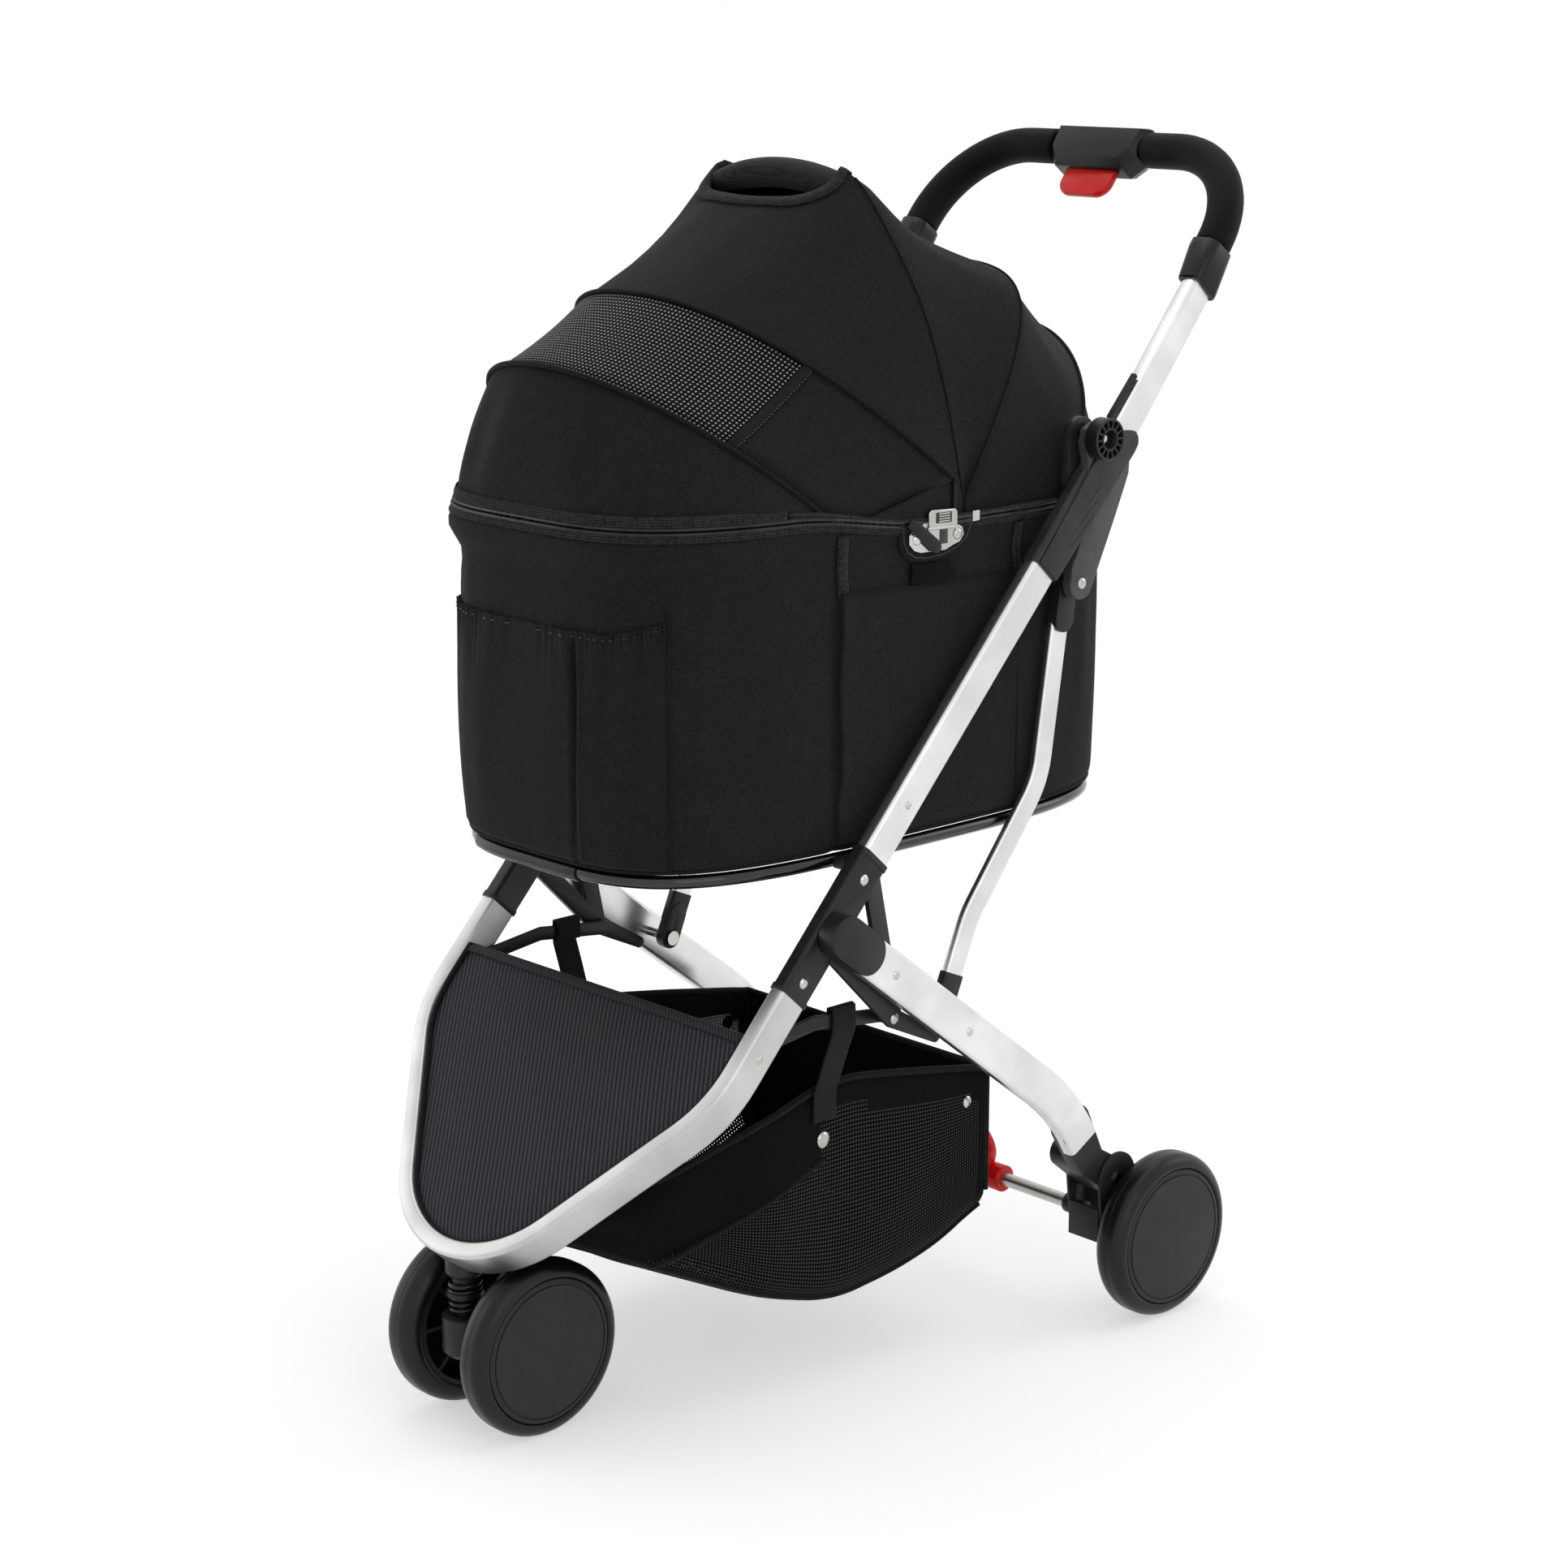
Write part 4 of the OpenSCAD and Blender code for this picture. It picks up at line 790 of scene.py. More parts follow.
# the collars end a little way up the silver tubes
COLLAR_END, COLLAR_RISE = 9 * MM, 13 * MM
collars = eased("collars", 0.9)
for way in (1, -1):
    lengthwise = Vector((UPPER.x * way, UPPER.y, UPPER.z))
    ring = [v for v in collars.data.vertices if v.co.x * way > 0]
    low = min(v.co.dot(lengthwise) for v in ring)
    for v in ring:
        if v.co.dot(lengthwise) < low + COLLAR_END:
            v.co += lengthwise * COLLAR_RISE
finish(collars, "black_abs", "handle", "black_plastic", "collars")


# ---------------------------------------------------------------- the fold joints, from listed outlines
def plate(name, line, depth, ease):
    """A flat part cut to a closed line on a plane square to X, and pushed in by depth."""
    made = swept(name, line, Vector((-depth * MM, 0, 0)))
    bevel(made, ease, 3, 40)
    return smooth(made, 40)


def dome(name, centre, radius, tall):
    """A rivet's round head, facing left."""
    curve = [(radius * math.cos(math.radians(a)), tall * math.sin(math.radians(a)))
             for a in range(0, 90, 15)]
    return smooth(turned(name, [(0, -0.6), (radius, -0.6), *curve, (0, tall)], centre, ACROSS, 28), 50)


# the housing's outer cheek, with a rounded upper corner and three hooked grooves, drawn as painted shade
CHEEK_X = 191.6
cheek_line = [(412, 12.5), (412, -14), (470, -15.6), (546, -17), (553, -15.8), (557.5, -11.5),
              (558.5, -6), (556, -1), (548, 9), (532, 18), (515, 17.4), (470, 14.8)]
both_sides(plate("cheek", [on_tube(t, s, CHEEK_X) for t, s in cheek_line], 2.0, 0.9), "fold_cheek",
           "grey_nylon", "front_frame", "grey_plastic")
# each groove is not cut in: a thin gloss black cord laid on the cheek stands in as painted shade for its
# hollow
for n, (t, s) in enumerate(((500, -3.2), (489, -8.2), (478, -13.2))):
    groove = [on_tube(t + d, s + e, CHEEK_X)
              for d, e in ((0, 0), (-34, 3.6), (-36.5, 4.6), (-36.8, 6.2))]
    both_sides(piping("groove", groove, 0.55, sides=4), f"cheek_groove_{n}", "gloss_paint", "front_frame",
               "black_plastic")

# the knob: a cup with a ring of open pockets round a hollow middle, and a bright rivet down in it
knob_place = fold + Vector((0.1895, 0, 0))
knob = turned("knob", [(0, 6.5), (7.3, 6.5), (7.5, 13.2), (8.0, 13.9), (9.2, 13.9), (9.6, 13.3),
                       (9.6, 9.2), (14.9, 9.2), (14.9, 13.2), (15.3, 13.9), (16.6, 13.9), (17.3, 13.1),
                       (17.3, 1.4), (16.6, 0.4), (0, 0.4)], knob_place, ACROSS, 56)
knob = smooth(knob, 35)
WEBS = 14
webs = []
for n in range(WEBS):
    a = 2 * math.pi * n / WEBS
    ray, aside = Vector((0, math.cos(a), math.sin(a))), Vector((0, -math.sin(a), math.cos(a)))
    line = [knob_place + (ACROSS * 13.6 + ray * r + aside * w) * MM
            for r, w in ((9.3, -0.75), (15.1, -0.75), (15.1, 0.75), (9.3, 0.75))]
    webs.append(swept("web", line, ACROSS * -4.6 * MM))
inner_head = turned("inner_head", [(0, 0), (8.4, 0), (9, 0.6), (9, 6.4), (8.4, 7), (0, 7)],
                    knob_place + Vector((-0.0315, 0, 0)), ACROSS, 36)
both_sides(joined("knob", [knob, *webs, smooth(inner_head, 35)]), "fold_knob", "nylon", "front_frame",
           "black_plastic", "joint_knobs")
both_sides(dome("rivet", knob_place + Vector((6.9 * MM, 0, 0)), 4.7, 2.2), "fold_rivet", "nickel",
           "front_frame", "bright_metal")

# the lever: it comes out from behind the cheek and tapers to a round boss at the brace's pivot
lever_line = [(168.5, 643.5), (174.5, 656.4), (194.8, 698.1), (207, 724.5), (211.4, 735), (212, 743),
              (208, 752), (196, 770), (184, 778), (172, 780), (161, 775), (158, 765), (162, 748),
              (161, 720), (157, 690), (150.5, 675), (144.8, 664)]
lever_line += arc((156.4, 649.4), 13.5, 160, 330, 17)
both_sides(plate("lever", [at(189.3, y, z) for y, z in lever_line], 9.5, 1.0), "fold_lever",
           "lever_nylon", "handle", "grey_plastic", "lever_left")
both_sides(dome("lever_rivet", lever_end + Vector((189.4 * MM, 0, 0)), 4.8, 2.0), "lever_rivet",
           "nickel", "handle", "bright_metal")
strip = swept("release_strip", [on_tube(t, s, 183) for t, s in ((553, 16.2), (597, 16.2), (597.5, 19.6),
                                                                (553, 19.2))], Vector((-5 * MM, 0, 0)))
both_sides(smooth(strip, 30), "release_strip", "black_abs", "handle", "black_plastic", "release_cable")

# ---------------------------------------------------------------- wheels
WHEEL_R, RIM_R, CAP_R = 72.5, 56.5, 60.0


def wheel(place, inward, name):
    """A tyre with its parting line and the two-seam cap in its outer face."""
    profile = ([(CAP_R + 0.1, 1.8), (CAP_R + 0.9, 0.4)]
               + arc((WHEEL_R - 11, 11), 11, -90, 0, 10)
               + [(WHEEL_R, 15.6), (WHEEL_R - 0.5, 16), (WHEEL_R, 16.4)]
               + arc((WHEEL_R - 13.5, 18.5), 13.5, 0, 90, 10)
               + [(RIM_R + 4, 32.0), (RIM_R + 1.6, 31.5), (RIM_R + 0.1, 30.2)])
    tyre = turned(name + "_tyre_turned", profile, place, inward, 72, closed=True)
    finish(smooth(tyre, 40), "tyre", name, "tyre", name.replace("wheel", "tyre"))
    cap = turned(name + "_cap", [(0, -1.6), (18, -1.45), (36, -1.0), (48, -0.5), (54.4, -0.2),
                                 (54.8, 0.7), (55.7, 0.7), (56.1, -0.1), (58.4, 0.3), (59.3, 0.6),
                                 (59.8, 1.2), (59.8, 1.9), (0, 1.9)], place, inward, 72)
    finish(smooth(cap, 25), "hub", name, "hub_plastic")


for end, x in (("rear", 238), ("front", 62)):
    low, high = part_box(end + "_tyre_left")
    for side, way in (("left", 1), ("right", -1)):
        wheel(Vector((x * way * MM, (low.y + high.y) / 2, WHEEL_R * MM)), -ACROSS * way,
              f"{end}_wheel_{side}")

# ---------------------------------------------------------------- caster
swivel = Vector((0, sum(corner.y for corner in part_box("caster_stem")) / 2, 0))
TURNS, COIL_R, COIL_LOW, COIL_HIGH, WIRE_R = 5.5, 12.2, 98.5, 126, 1.9
coil = []
for share in steps_between(0, 1, int(TURNS * 20)):
    a = 2 * math.pi * TURNS * share
    coil.append(swivel + Vector((COIL_R * math.cos(a), COIL_R * math.sin(a),
                                 COIL_LOW + (COIL_HIGH - COIL_LOW) * share)) * MM)
spring = piping("coil_spring", coil, WIRE_R)
finish(spring, "spring", "caster", "black_plastic", "caster_spring")
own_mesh(spring)
socket = turned("stem_socket_sleeve", [(8.2, 119), (9.8, 119), (9.8, 128), (13.5, 130), (15.5, 133),
                                       (15.5, 150), (8.2, 150)], swivel, (0, 0, 1), 36, closed=True)
finish(smooth(socket, 30), "nylon", "front_frame", "black_plastic", "stem_socket")

# ---------------------------------------------------------------- carrier: its outline and hoops
HALF, LONG, MIDDLE, RIM_Z, FOOT_Y = 163, 273, 5, 712, 45
TUB_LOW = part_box("carrier_tub")[0].z / MM
# the cloth stands a little fuller than the frame at both ends; the oval is squarer than an ellipse
FULLER, OVAL = 6.0, 3.6
RISE, RISE_START, RISE_RUN = 15.5, 10, 150


def plan(angle, inset=0.0, fuller=FULLER):
    """The carrier's oval: a place at an angle in degrees, 0 on the left side, moved in by inset."""
    a = math.radians(angle)
    return ((HALF - inset) * power(math.cos(a), 2 / OVAL),
            MIDDLE + (LONG + fuller - inset) * power(math.sin(a), 2 / OVAL))


def risen(y, share=1.0):
    """How far the rim climbs towards the front end, in mm."""
    t = clamped((RISE_START - y) / RISE_RUN)
    return RISE * t * t * (3 - 2 * t) * share


def drawn_in(p, d):
    """A place drawn in towards the middle of the rim, by d mm at the carrier's sides."""
    f = 1 - d / HALF
    return (p[0] * f, FOOT_Y + (p[1] - FOOT_Y) * f, RIM_Z + (p[2] - RIM_Z) * f)


# each hoop: its feet and its crown as (y, z), half its width, and how square it is across and up
SECOND = ((33, 744), (-166, 893), 163, 2.3, 2.3)
CROWN = ((50, 729), (-6, 974), 156, 2.5, 3.2)
LOBE = ((53, 730), (152, 905), 157, 4.2, 4.2)
REAR = ((160, 717), (286, 840), 158, 1.7, 1.7)
FRONT = ((-87, 715), (-259, 844), 160, 2.1, 2.1)
# a place along a hoop or the rim is k, from 0 at the left foot over the crown to this at the right
K_END = 36
K_ALL = steps_between(0, K_END, 108)


def hoop(shape, k, d):
    """A place on a hoop in mm."""
    foot, crown, half, squared_across, squared_up = shape
    a = math.pi * k / K_END
    rise = power(math.sin(a), 2 / squared_up) if 0 < k < K_END else 0.0
    return drawn_in((half * power(math.cos(a), 2 / squared_across), *between(foot, crown, rise)), d)


def rim(k, end, y0, d):
    """A place on the rim, from the left side round its front (-1) or rear (1) to the right side."""
    a0 = math.asin((abs(y0 - MIDDLE) / LONG) ** (OVAL / 2))
    start = a0 if (y0 - MIDDLE) * end > 0 else -a0
    a = start + (math.pi - 2 * start) * k / K_END
    y = MIDDLE + end * (LONG + FULLER) * power(math.sin(a), 2 / OVAL)
    return drawn_in((HALF * power(math.cos(a), 2 / OVAL), y, RIM_Z + 1 + risen(y)), d)


def panel_rows(line_a, line_b, count, sag, ripple, seed):
    """Rows of a panel stretched between two lines: it dips by sag in the middle and ripples a little."""
    made = []
    for t in steps_between(0, 1, count):
        row = []
        for k in K_ALL:
            wave = math.sin(0.9 * k + seed) + 0.6 * math.sin(1.7 * k + 3 * t + seed * 2)
            pull = sag * 4 * t * (1 - t) + ripple * math.sin(math.pi * t) * wave
            row.append(at(*drawn_in(between(line_a(k), line_b(k), t), pull)))
        made.append(row)
    return made


def declare(piece, held, rests_on, flat_area, wide, long, *with_pieces):
    """Works out a sheet's cut length, at least its flat area over its width; the result is not kept."""
    long = max(long, 1.01 * flat_area / wide)


def measured(piece):
    """A sheet's area, width and length before it gets its thickness, from its UV map in metres."""
    uv = [loop.uv for loop in piece.data.uv_layers.active.data]
    return (sum(f.area for f in piece.data.polygons), max(p[0] for p in uv), max(p[1] for p in uv))


# from this height in metres up, the canopy's cloth belongs to the crown
CROWN_FROM = 0.85


def perked(spot):
    """Lifts a place on the crown: the cloth stands up in two ears where the handle's ends go in."""
    if spot.z <= CROWN_FROM:
        return spot
    x, y = abs(spot.x) / MM, spot.y / MM - SHIFT
    ears = 19 * bell(x - 78, 34) * bell(y - 5, 40)
    swell = 7 * bell(x, 105) * bell(y + 18, 60)
    return spot + Vector((0, 0, ears + swell)) * MM


def along_hoop(shape, d):
    return lambda k: hoop(shape, k, d)


rows = []
for line_a, line_b, sag, ripple, seed in (
        (along_hoop(SECOND, 0.5), along_hoop(CROWN, 0.5), 1.2, 0.5, 0),
        (along_hoop(CROWN, 0.5), along_hoop(LOBE, 0.5), 2.5, 0.6, 2),
        (along_hoop(LOBE, 0.5), along_hoop(REAR, 0.5), 2.5, 0.6, 4),
        (along_hoop(REAR, 0.5), lambda k: rim(k, 1, 165, 0.5), -1.5, 0.5, 5)):
    rows = rows[:-1] + panel_rows(line_a, line_b, 8, sag, ripple, seed)
rows = [[perked(spot) for spot in row] for row in rows]
for row in rows:
    row.insert(0, Vector((row[0].x, row[0].y, (RIM_Z + 0.6) * MM)))
    row.append(Vector((row[-1].x, row[-1].y, (RIM_Z + 0.6) * MM)))
canopy = cloth("canopy_cover", rows)
canopy_size = measured(canopy)
canopy_tree = BVHTree.FromPolygons([v.co for v in canopy.data.vertices],
                                   [p.vertices for p in canopy.data.polygons])
thicken(canopy, 1.4)


def on_canopy(x, y, lift):
    """The place on the canopy's skin straight below a point, lifted off along the skin's normal."""
    spot, normal, _, _ = canopy_tree.ray_cast(at(x, y, 1100), Vector((0, 0, -1)))
    return spot + (-normal if normal.z < 0 else normal) * lift * MM


# the mouth under the carry handle
MOUTH_X, MOUTH_Y, MOUTH_MID = 70, 29, -11
set_down()
bpy.ops.mesh.primitive_cylinder_add(vertices=64, radius=1, depth=0.12, location=at(0, MOUTH_MID, 985))
cutter = bpy.context.object
cutter.scale = (MOUTH_X * MM, MOUTH_Y * MM, 1)
bpy.ops.object.transform_apply(location=True, rotation=True, scale=True)
fix(canopy, "BOOLEAN", object=cutter, solver="EXACT")
bpy.data.objects.remove(cutter)
smooth(canopy, 50)
finish(canopy, "canvas", "carrier", "canvas", "canopy_back")

# the canopy's front: the flap below the front bow, and the window between the bows
flap = cloth("canopy_flap_cover", panel_rows(lambda k: rim(k, -1, -87, 0.2), along_hoop(FRONT, 0.2), 10,
                                             -2.0, 0.9, 1))
flap_size = measured(flap)
thicken(flap, 1.4)
finish(flap, "canvas", "canopy", "canvas", "canopy_flap")

# how much of k each gusset takes on the two bows
GUSSET_FRONT, GUSSET_SECOND = 6.3, 7.3


def on_bow(gusset, share):
    """The k of a share: -1 to 0 is the left gusset, 0 to 1 the window and 1 to 2 the right gusset."""
    outside = min(share, 0) + max(share - 1, 0)
    return gusset * (1 + outside) + (K_END - 2 * gusset) * clamped(share)


def bow_panel(name, first, last, columns, lift=0.0):
    """A panel between the front and second bows, from one share to another."""
    rows = []
    for t in steps_between(0, 1, 8):
        rows.append([at(*drawn_in(between(hoop(FRONT, on_bow(GUSSET_FRONT, share), 0.4),
                                          hoop(SECOND, on_bow(GUSSET_SECOND, share), 0.4), t),
                                  8 * t * (1 - t) - lift))
                     for share in steps_between(first, last, columns)])
    return cloth(name, rows)


def bend_with_bow(piece, material="canvas", slot="canvas", *stands_for):
    finish(piece, material, None, slot, *stands_for)
    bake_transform(piece)


window = bow_panel("canopy_window", 0.0, 1.0, 72)
window_size = measured(window)
thicken(window, 0.5)
bend_with_bow(window, "window_net", "window_mesh", "canopy_mesh")
# each gusset, and the skirt that carries it down to the rim
SKIRT_X, SKIRT_SWELL, SKIRT_BACK, SKIRT_FRONT, SKIRT_LOW = 158.5, 4.2, 36, -89, 709
(front_y, front_z), (second_y, second_z) = FRONT[0], SECOND[0]
side_sizes = []
for label, way, first, last in (("left", 1, -1, 0), ("right", -1, 1, 2)):
    gusset = bow_panel("canopy_gusset_" + label, first, last, 18)
    side_sizes.append((gusset, measured(gusset)))
    thicken(gusset, 1.2)
    bend_with_bow(gusset)
    rows = []
    for i, y in enumerate(steps_between(SKIRT_BACK, SKIRT_FRONT, 12)):
        line = front_z + (second_z - front_z) * (min(second_y, y) - front_y) / (second_y - front_y)
        x = (SKIRT_X + SKIRT_SWELL * math.sin(math.pi * i / 12)) * way
        rows.append([at(x, y, line + 2 - (line - SKIRT_LOW) * n / 5) for n in range(6)])
    skirt = cloth("canopy_skirt_" + label, rows)
    side_sizes.append((skirt, measured(skirt)))
    thicken(skirt, 1.2, 0.0)
    bend_with_bow(skirt)
borders = []
for label, first, last in (("left", 0.0, 0.022), ("right", 0.978, 1.0)):
    border = bow_panel("window_border_" + label, first, last, 2, 0.7)
    thicken(border, 0.5, 1.0)
    bend_with_bow(border)
    borders.append(border)

for name, shape, first, last, count, d, radius, body in (
        ("bow_piping_front", FRONT, 0, K_END, 144, -0.6, 2.1, "canopy"),
        ("bow_piping_second", SECOND, 0, K_END, 144, -0.4, 1.9, "carrier"),
        ("crown_seam_left", CROWN, 0, 12.5, 60, 0.2, 1.0, "carrier"),
        ("crown_seam_right", CROWN, 23.5, K_END, 60, 0.2, 1.0, "carrier"),
        ("lobe_seam", LOBE, 0, K_END, 144, 0.2, 1.0, "carrier"),
        ("rear_bow_piping", REAR, 0, K_END, 144, -0.2, 1.8, "carrier")):
    line = [at(*hoop(shape, k, d)) for k in steps_between(first, last, count)]
    if shape is not FRONT:
        line = [perked(spot) for spot in line]
    cord(name, line, radius, body)

# the tape bound round the mouth under the carry handle
ring = []
for a in steps_between(0, 2 * math.pi, 96):
    ahead, aside = math.cos(a), math.sin(a)
    outer = on_canopy((MOUTH_X + 9) * ahead, MOUTH_MID + (MOUTH_Y + 10) * aside, 0.9)
    inner = on_canopy((MOUTH_X + 1) * ahead, MOUTH_MID + (MOUTH_Y + 1) * aside, 1.4)
    ring.append((outer, (outer + inner) / 2 + Vector((0, 0, 0.5)) * MM, inner,
                 inner + Vector((-1.8 * ahead, -1.8 * aside, -4.5)) * MM))
mouth_tape = cloth("mouth_binding", [[spot[j] for spot in ring] for j in range(4)], True)
thicken(mouth_tape, 1.0, 1.0)
finish(mouth_tape, "tape", "carrier", "webbing")

# the carry handle: a stuffed arch, thick in the middle and flat where it is sewn down
HANDLE_HALF, HANDLE_TOP, HANDLE_ARCH = 83, 979.5, 15
rows = []
for u in steps_between(-1, 1, 56):
    fat = (1 - u * u) ** 0.3 if abs(u) < 1 else 0
    middle = Vector((HANDLE_HALF * u, -6 + 6 * u * u, HANDLE_TOP - HANDLE_ARCH * u * u))
    deep = Vector((0, 11.0 + 5.5 * fat, 0))
    tall = Vector((2 * HANDLE_ARCH * u, 0, HANDLE_HALF)).normalized() * (4.0 + 7.0 * fat)
    rows.append([at(*(middle + deep * power(math.cos(a), 0.85) + tall * power(math.sin(a), 0.9)))
                 for a in steps_between(0, 2 * math.pi, 28)])
carry = cloth("carry_handle_padded", rows, True)
open_up(carry)
bpy.ops.mesh.select_all(action="SELECT")
bpy.ops.mesh.region_to_loop()
bpy.ops.mesh.edge_face_add()
carry = close_up()


def puffed(piece, voxel, pressure, cap):
    """Swells a padded piece: a remeshed copy is blown up as cloth, then held to a small movement."""
    fix(piece, "REMESH", mode="VOXEL", voxel_size=voxel * MM, use_smooth_shade=True)
    rest = [v.co.copy() for v in piece.data.vertices]
    pick_up(piece)
    cloth_tool = piece.modifiers.new("cloth", "CLOTH")
    cloth_tool.settings.use_pressure = True
    cloth_tool.settings.uniform_pressure_force = pressure
    cloth_tool.settings.effector_weights.gravity = 0.0
    cloth_tool.settings.tension_stiffness = 20
    for number in range(1, 21):
        bpy.context.scene.frame_set(number)
    bpy.ops.object.modifier_apply(modifier=cloth_tool.name)
    bpy.context.scene.frame_set(1)
    for vertex, was in zip(piece.data.vertices, rest):
        step = vertex.co - was
        if step.length > cap * MM:
            vertex.co = was + step.normalized() * cap * MM
    fix(piece, "SUBSURF", levels=1, render_levels=1)
    pick_up(piece)
    bpy.ops.object.shade_smooth()


puffed(carry, 3.0, 3.0, 2.5)
finish(carry, "handle_cloth", "carrier", "handle_pad", "carry_handle")

# ---------------------------------------------------------------- carrier tub
TUB_HIGH = 711.5
CREASES = (350.7, 189.3)


def ripples(a, z):
    """Slack in the cloth: long shallow upright waves, a millimetre or so deep."""
    return (0.7 * math.sin(a * 0.145 + 0.9) * math.sin((z - 440) * 0.011)
            + 0.45 * math.sin(a * 0.31 + z * 0.016) + 0.3 * math.sin(a * 0.53 - z * 0.021 + 1.3))


def belly(a, z):
    """How far the stuffed edge under the zip stands out, round the front of the tub only."""
    return 8.0 * bell(z - 697, 11) * clamped((-120 - plan(a)[1]) / 90)


def wall(a, z, out=0.0):
    """A place on the tub's wall, at an angle in degrees round the oval and a height in mm."""
    slack = math.sin(math.pi * clamped((z - TUB_LOW) / (TUB_HIGH - TUB_LOW)))
    inset = 2.6 - 1.3 * slack - ripples(a, z) * slack
    # the rounded floor edge, the hem under the zip and the groove below it
    inset += 9.0 * math.exp(-(z - TUB_LOW) / 3.2) - 1.8 * bell(z - 706, 7) + 1.6 * bell(z - 680, 11)
    for crease in CREASES:
        gap = (a - crease + 180) % 360 - 180
        inset += 3.4 * bell(gap, 0.7) * clamped((664 - z) / 20)
    x, y = plan(a, inset - out - belly(a, z))
    return at(x, y, z + risen(y, clamped((z - 640) / 70)))


TURN = steps_between(0, 360, 240)
floor_middle = at(0, MIDDLE, TUB_LOW)
rows = [[floor_middle.lerp(wall(a, TUB_LOW), f) for a in TURN]
        for f in (0.02, 0.2, 0.4, 0.6, 0.8, 0.92, 0.97)]
rows += [[wall(a, TUB_LOW + z) for a in TURN]
         for z in (0, 0.8, 2, 4, 7, 11, 17, 26, 38, 54, 72, 92, 112, 132, 152, 172, 186, 196, 206, 214,
                   222, 230, 236, 241, 246, TUB_HIGH - TUB_LOW)]
tub = cloth("carrier_tub_cloth", rows, True)
thicken(tub, 3.0)
smooth(tub, 60)
finish(tub, "canvas", "carrier", "canvas", "carrier_tub")

# the front pocket: gathered at its top on elastic, with one deep pleat, and higher at its left end
POCKET_TOP, POCKET_A, POCKET_B, PLEAT = 646.5, 231.0, 309.0, 278.8


def pocket_top(a, z):
    return z + 9 * max(0, (a - 290) / 19)


def pocket(a, z):
    """How far the front pocket stands off the wall."""
    s = (a - POCKET_A) / (POCKET_B - POCKET_A)
    h = (POCKET_TOP - z) / (POCKET_TOP - TUB_LOW)
    round_ends = min(1, 4.5 * s, 4.5 * (1 - s)) ** 0.5
    gathers = (0.7 * math.sin(a * 3.1 + 1.7 * math.sin(a * 0.9))
               + 0.5 * math.sin(a * 4.3 + 2 * math.sin(a * 0.37)))
    away = a - PLEAT - 0.5 * math.sin(h * 5)
    pleat = 2.4 * bell(away - 1.5, 0.9) - 5.2 * bell(away, 0.75) + 0.9 * bell(away + 1.6, 1.1)
    return (1.0 + 3.8 * round_ends * math.sin(math.pi * min(1, 0.12 + h)) ** 0.7
            + gathers * math.exp(-h * 12)
            + math.sin(a * 0.62 + 4 * h) * math.exp(-h * 2.2) * round_ends
            + pleat * clamped(h * 14) * (1 - 0.5 * h))


rows = []
for h in (0.0, 0.012, 0.03, 0.05, 0.08, 0.12, 0.17, 0.23, 0.3, 0.38, 0.47, 0.56, 0.65, 0.74, 0.83, 0.9,
          0.95, 0.975):
    z = POCKET_TOP - h * (POCKET_TOP - TUB_LOW)
    rows.append([wall(a, pocket_top(a, z) if h < 0.3 else z, pocket(a, z))
                 for a in steps_between(POCKET_A, POCKET_B, 260)])
pouch = cloth("front_pocket", rows)
pouch_size = measured(pouch)
thicken(pouch, 1.0)
finish(pouch, "canvas", "carrier", "canvas")

STITCH_Z = POCKET_TOP - 3.5
stitches = []
for a in steps_between(POCKET_A + 1, POCKET_B - 1, 62)[::2]:
    line = [wall(a + d, pocket_top(a, STITCH_Z), pocket(a + d, STITCH_Z) + 0.5) for d in (-0.32, 0, 0.32)]
    stitches.append(piping("stitch", line, 0.55, sides=4))
stitches = joined("front_pocket_stitches", stitches)
finish(stitches, "gloss_paint", "carrier", "canvas")
for name, a, top in (("corner_seam_left", POCKET_B + 0.2, 663),
                     ("corner_seam_right", POCKET_A - 0.2, 654)):
    cord(name, [wall(a, z, 1.3) for z in steps_between(TUB_LOW + 4, top, 30)], 1.2)

# the side pockets, standing off the wall at their front edge
SIDE_TOP, SIDE_STEPS = 663.5, 70


def top_bow(s):
    """The top of a side pocket rises a little in its middle."""
    return 1.5 * math.sin(math.pi * s)


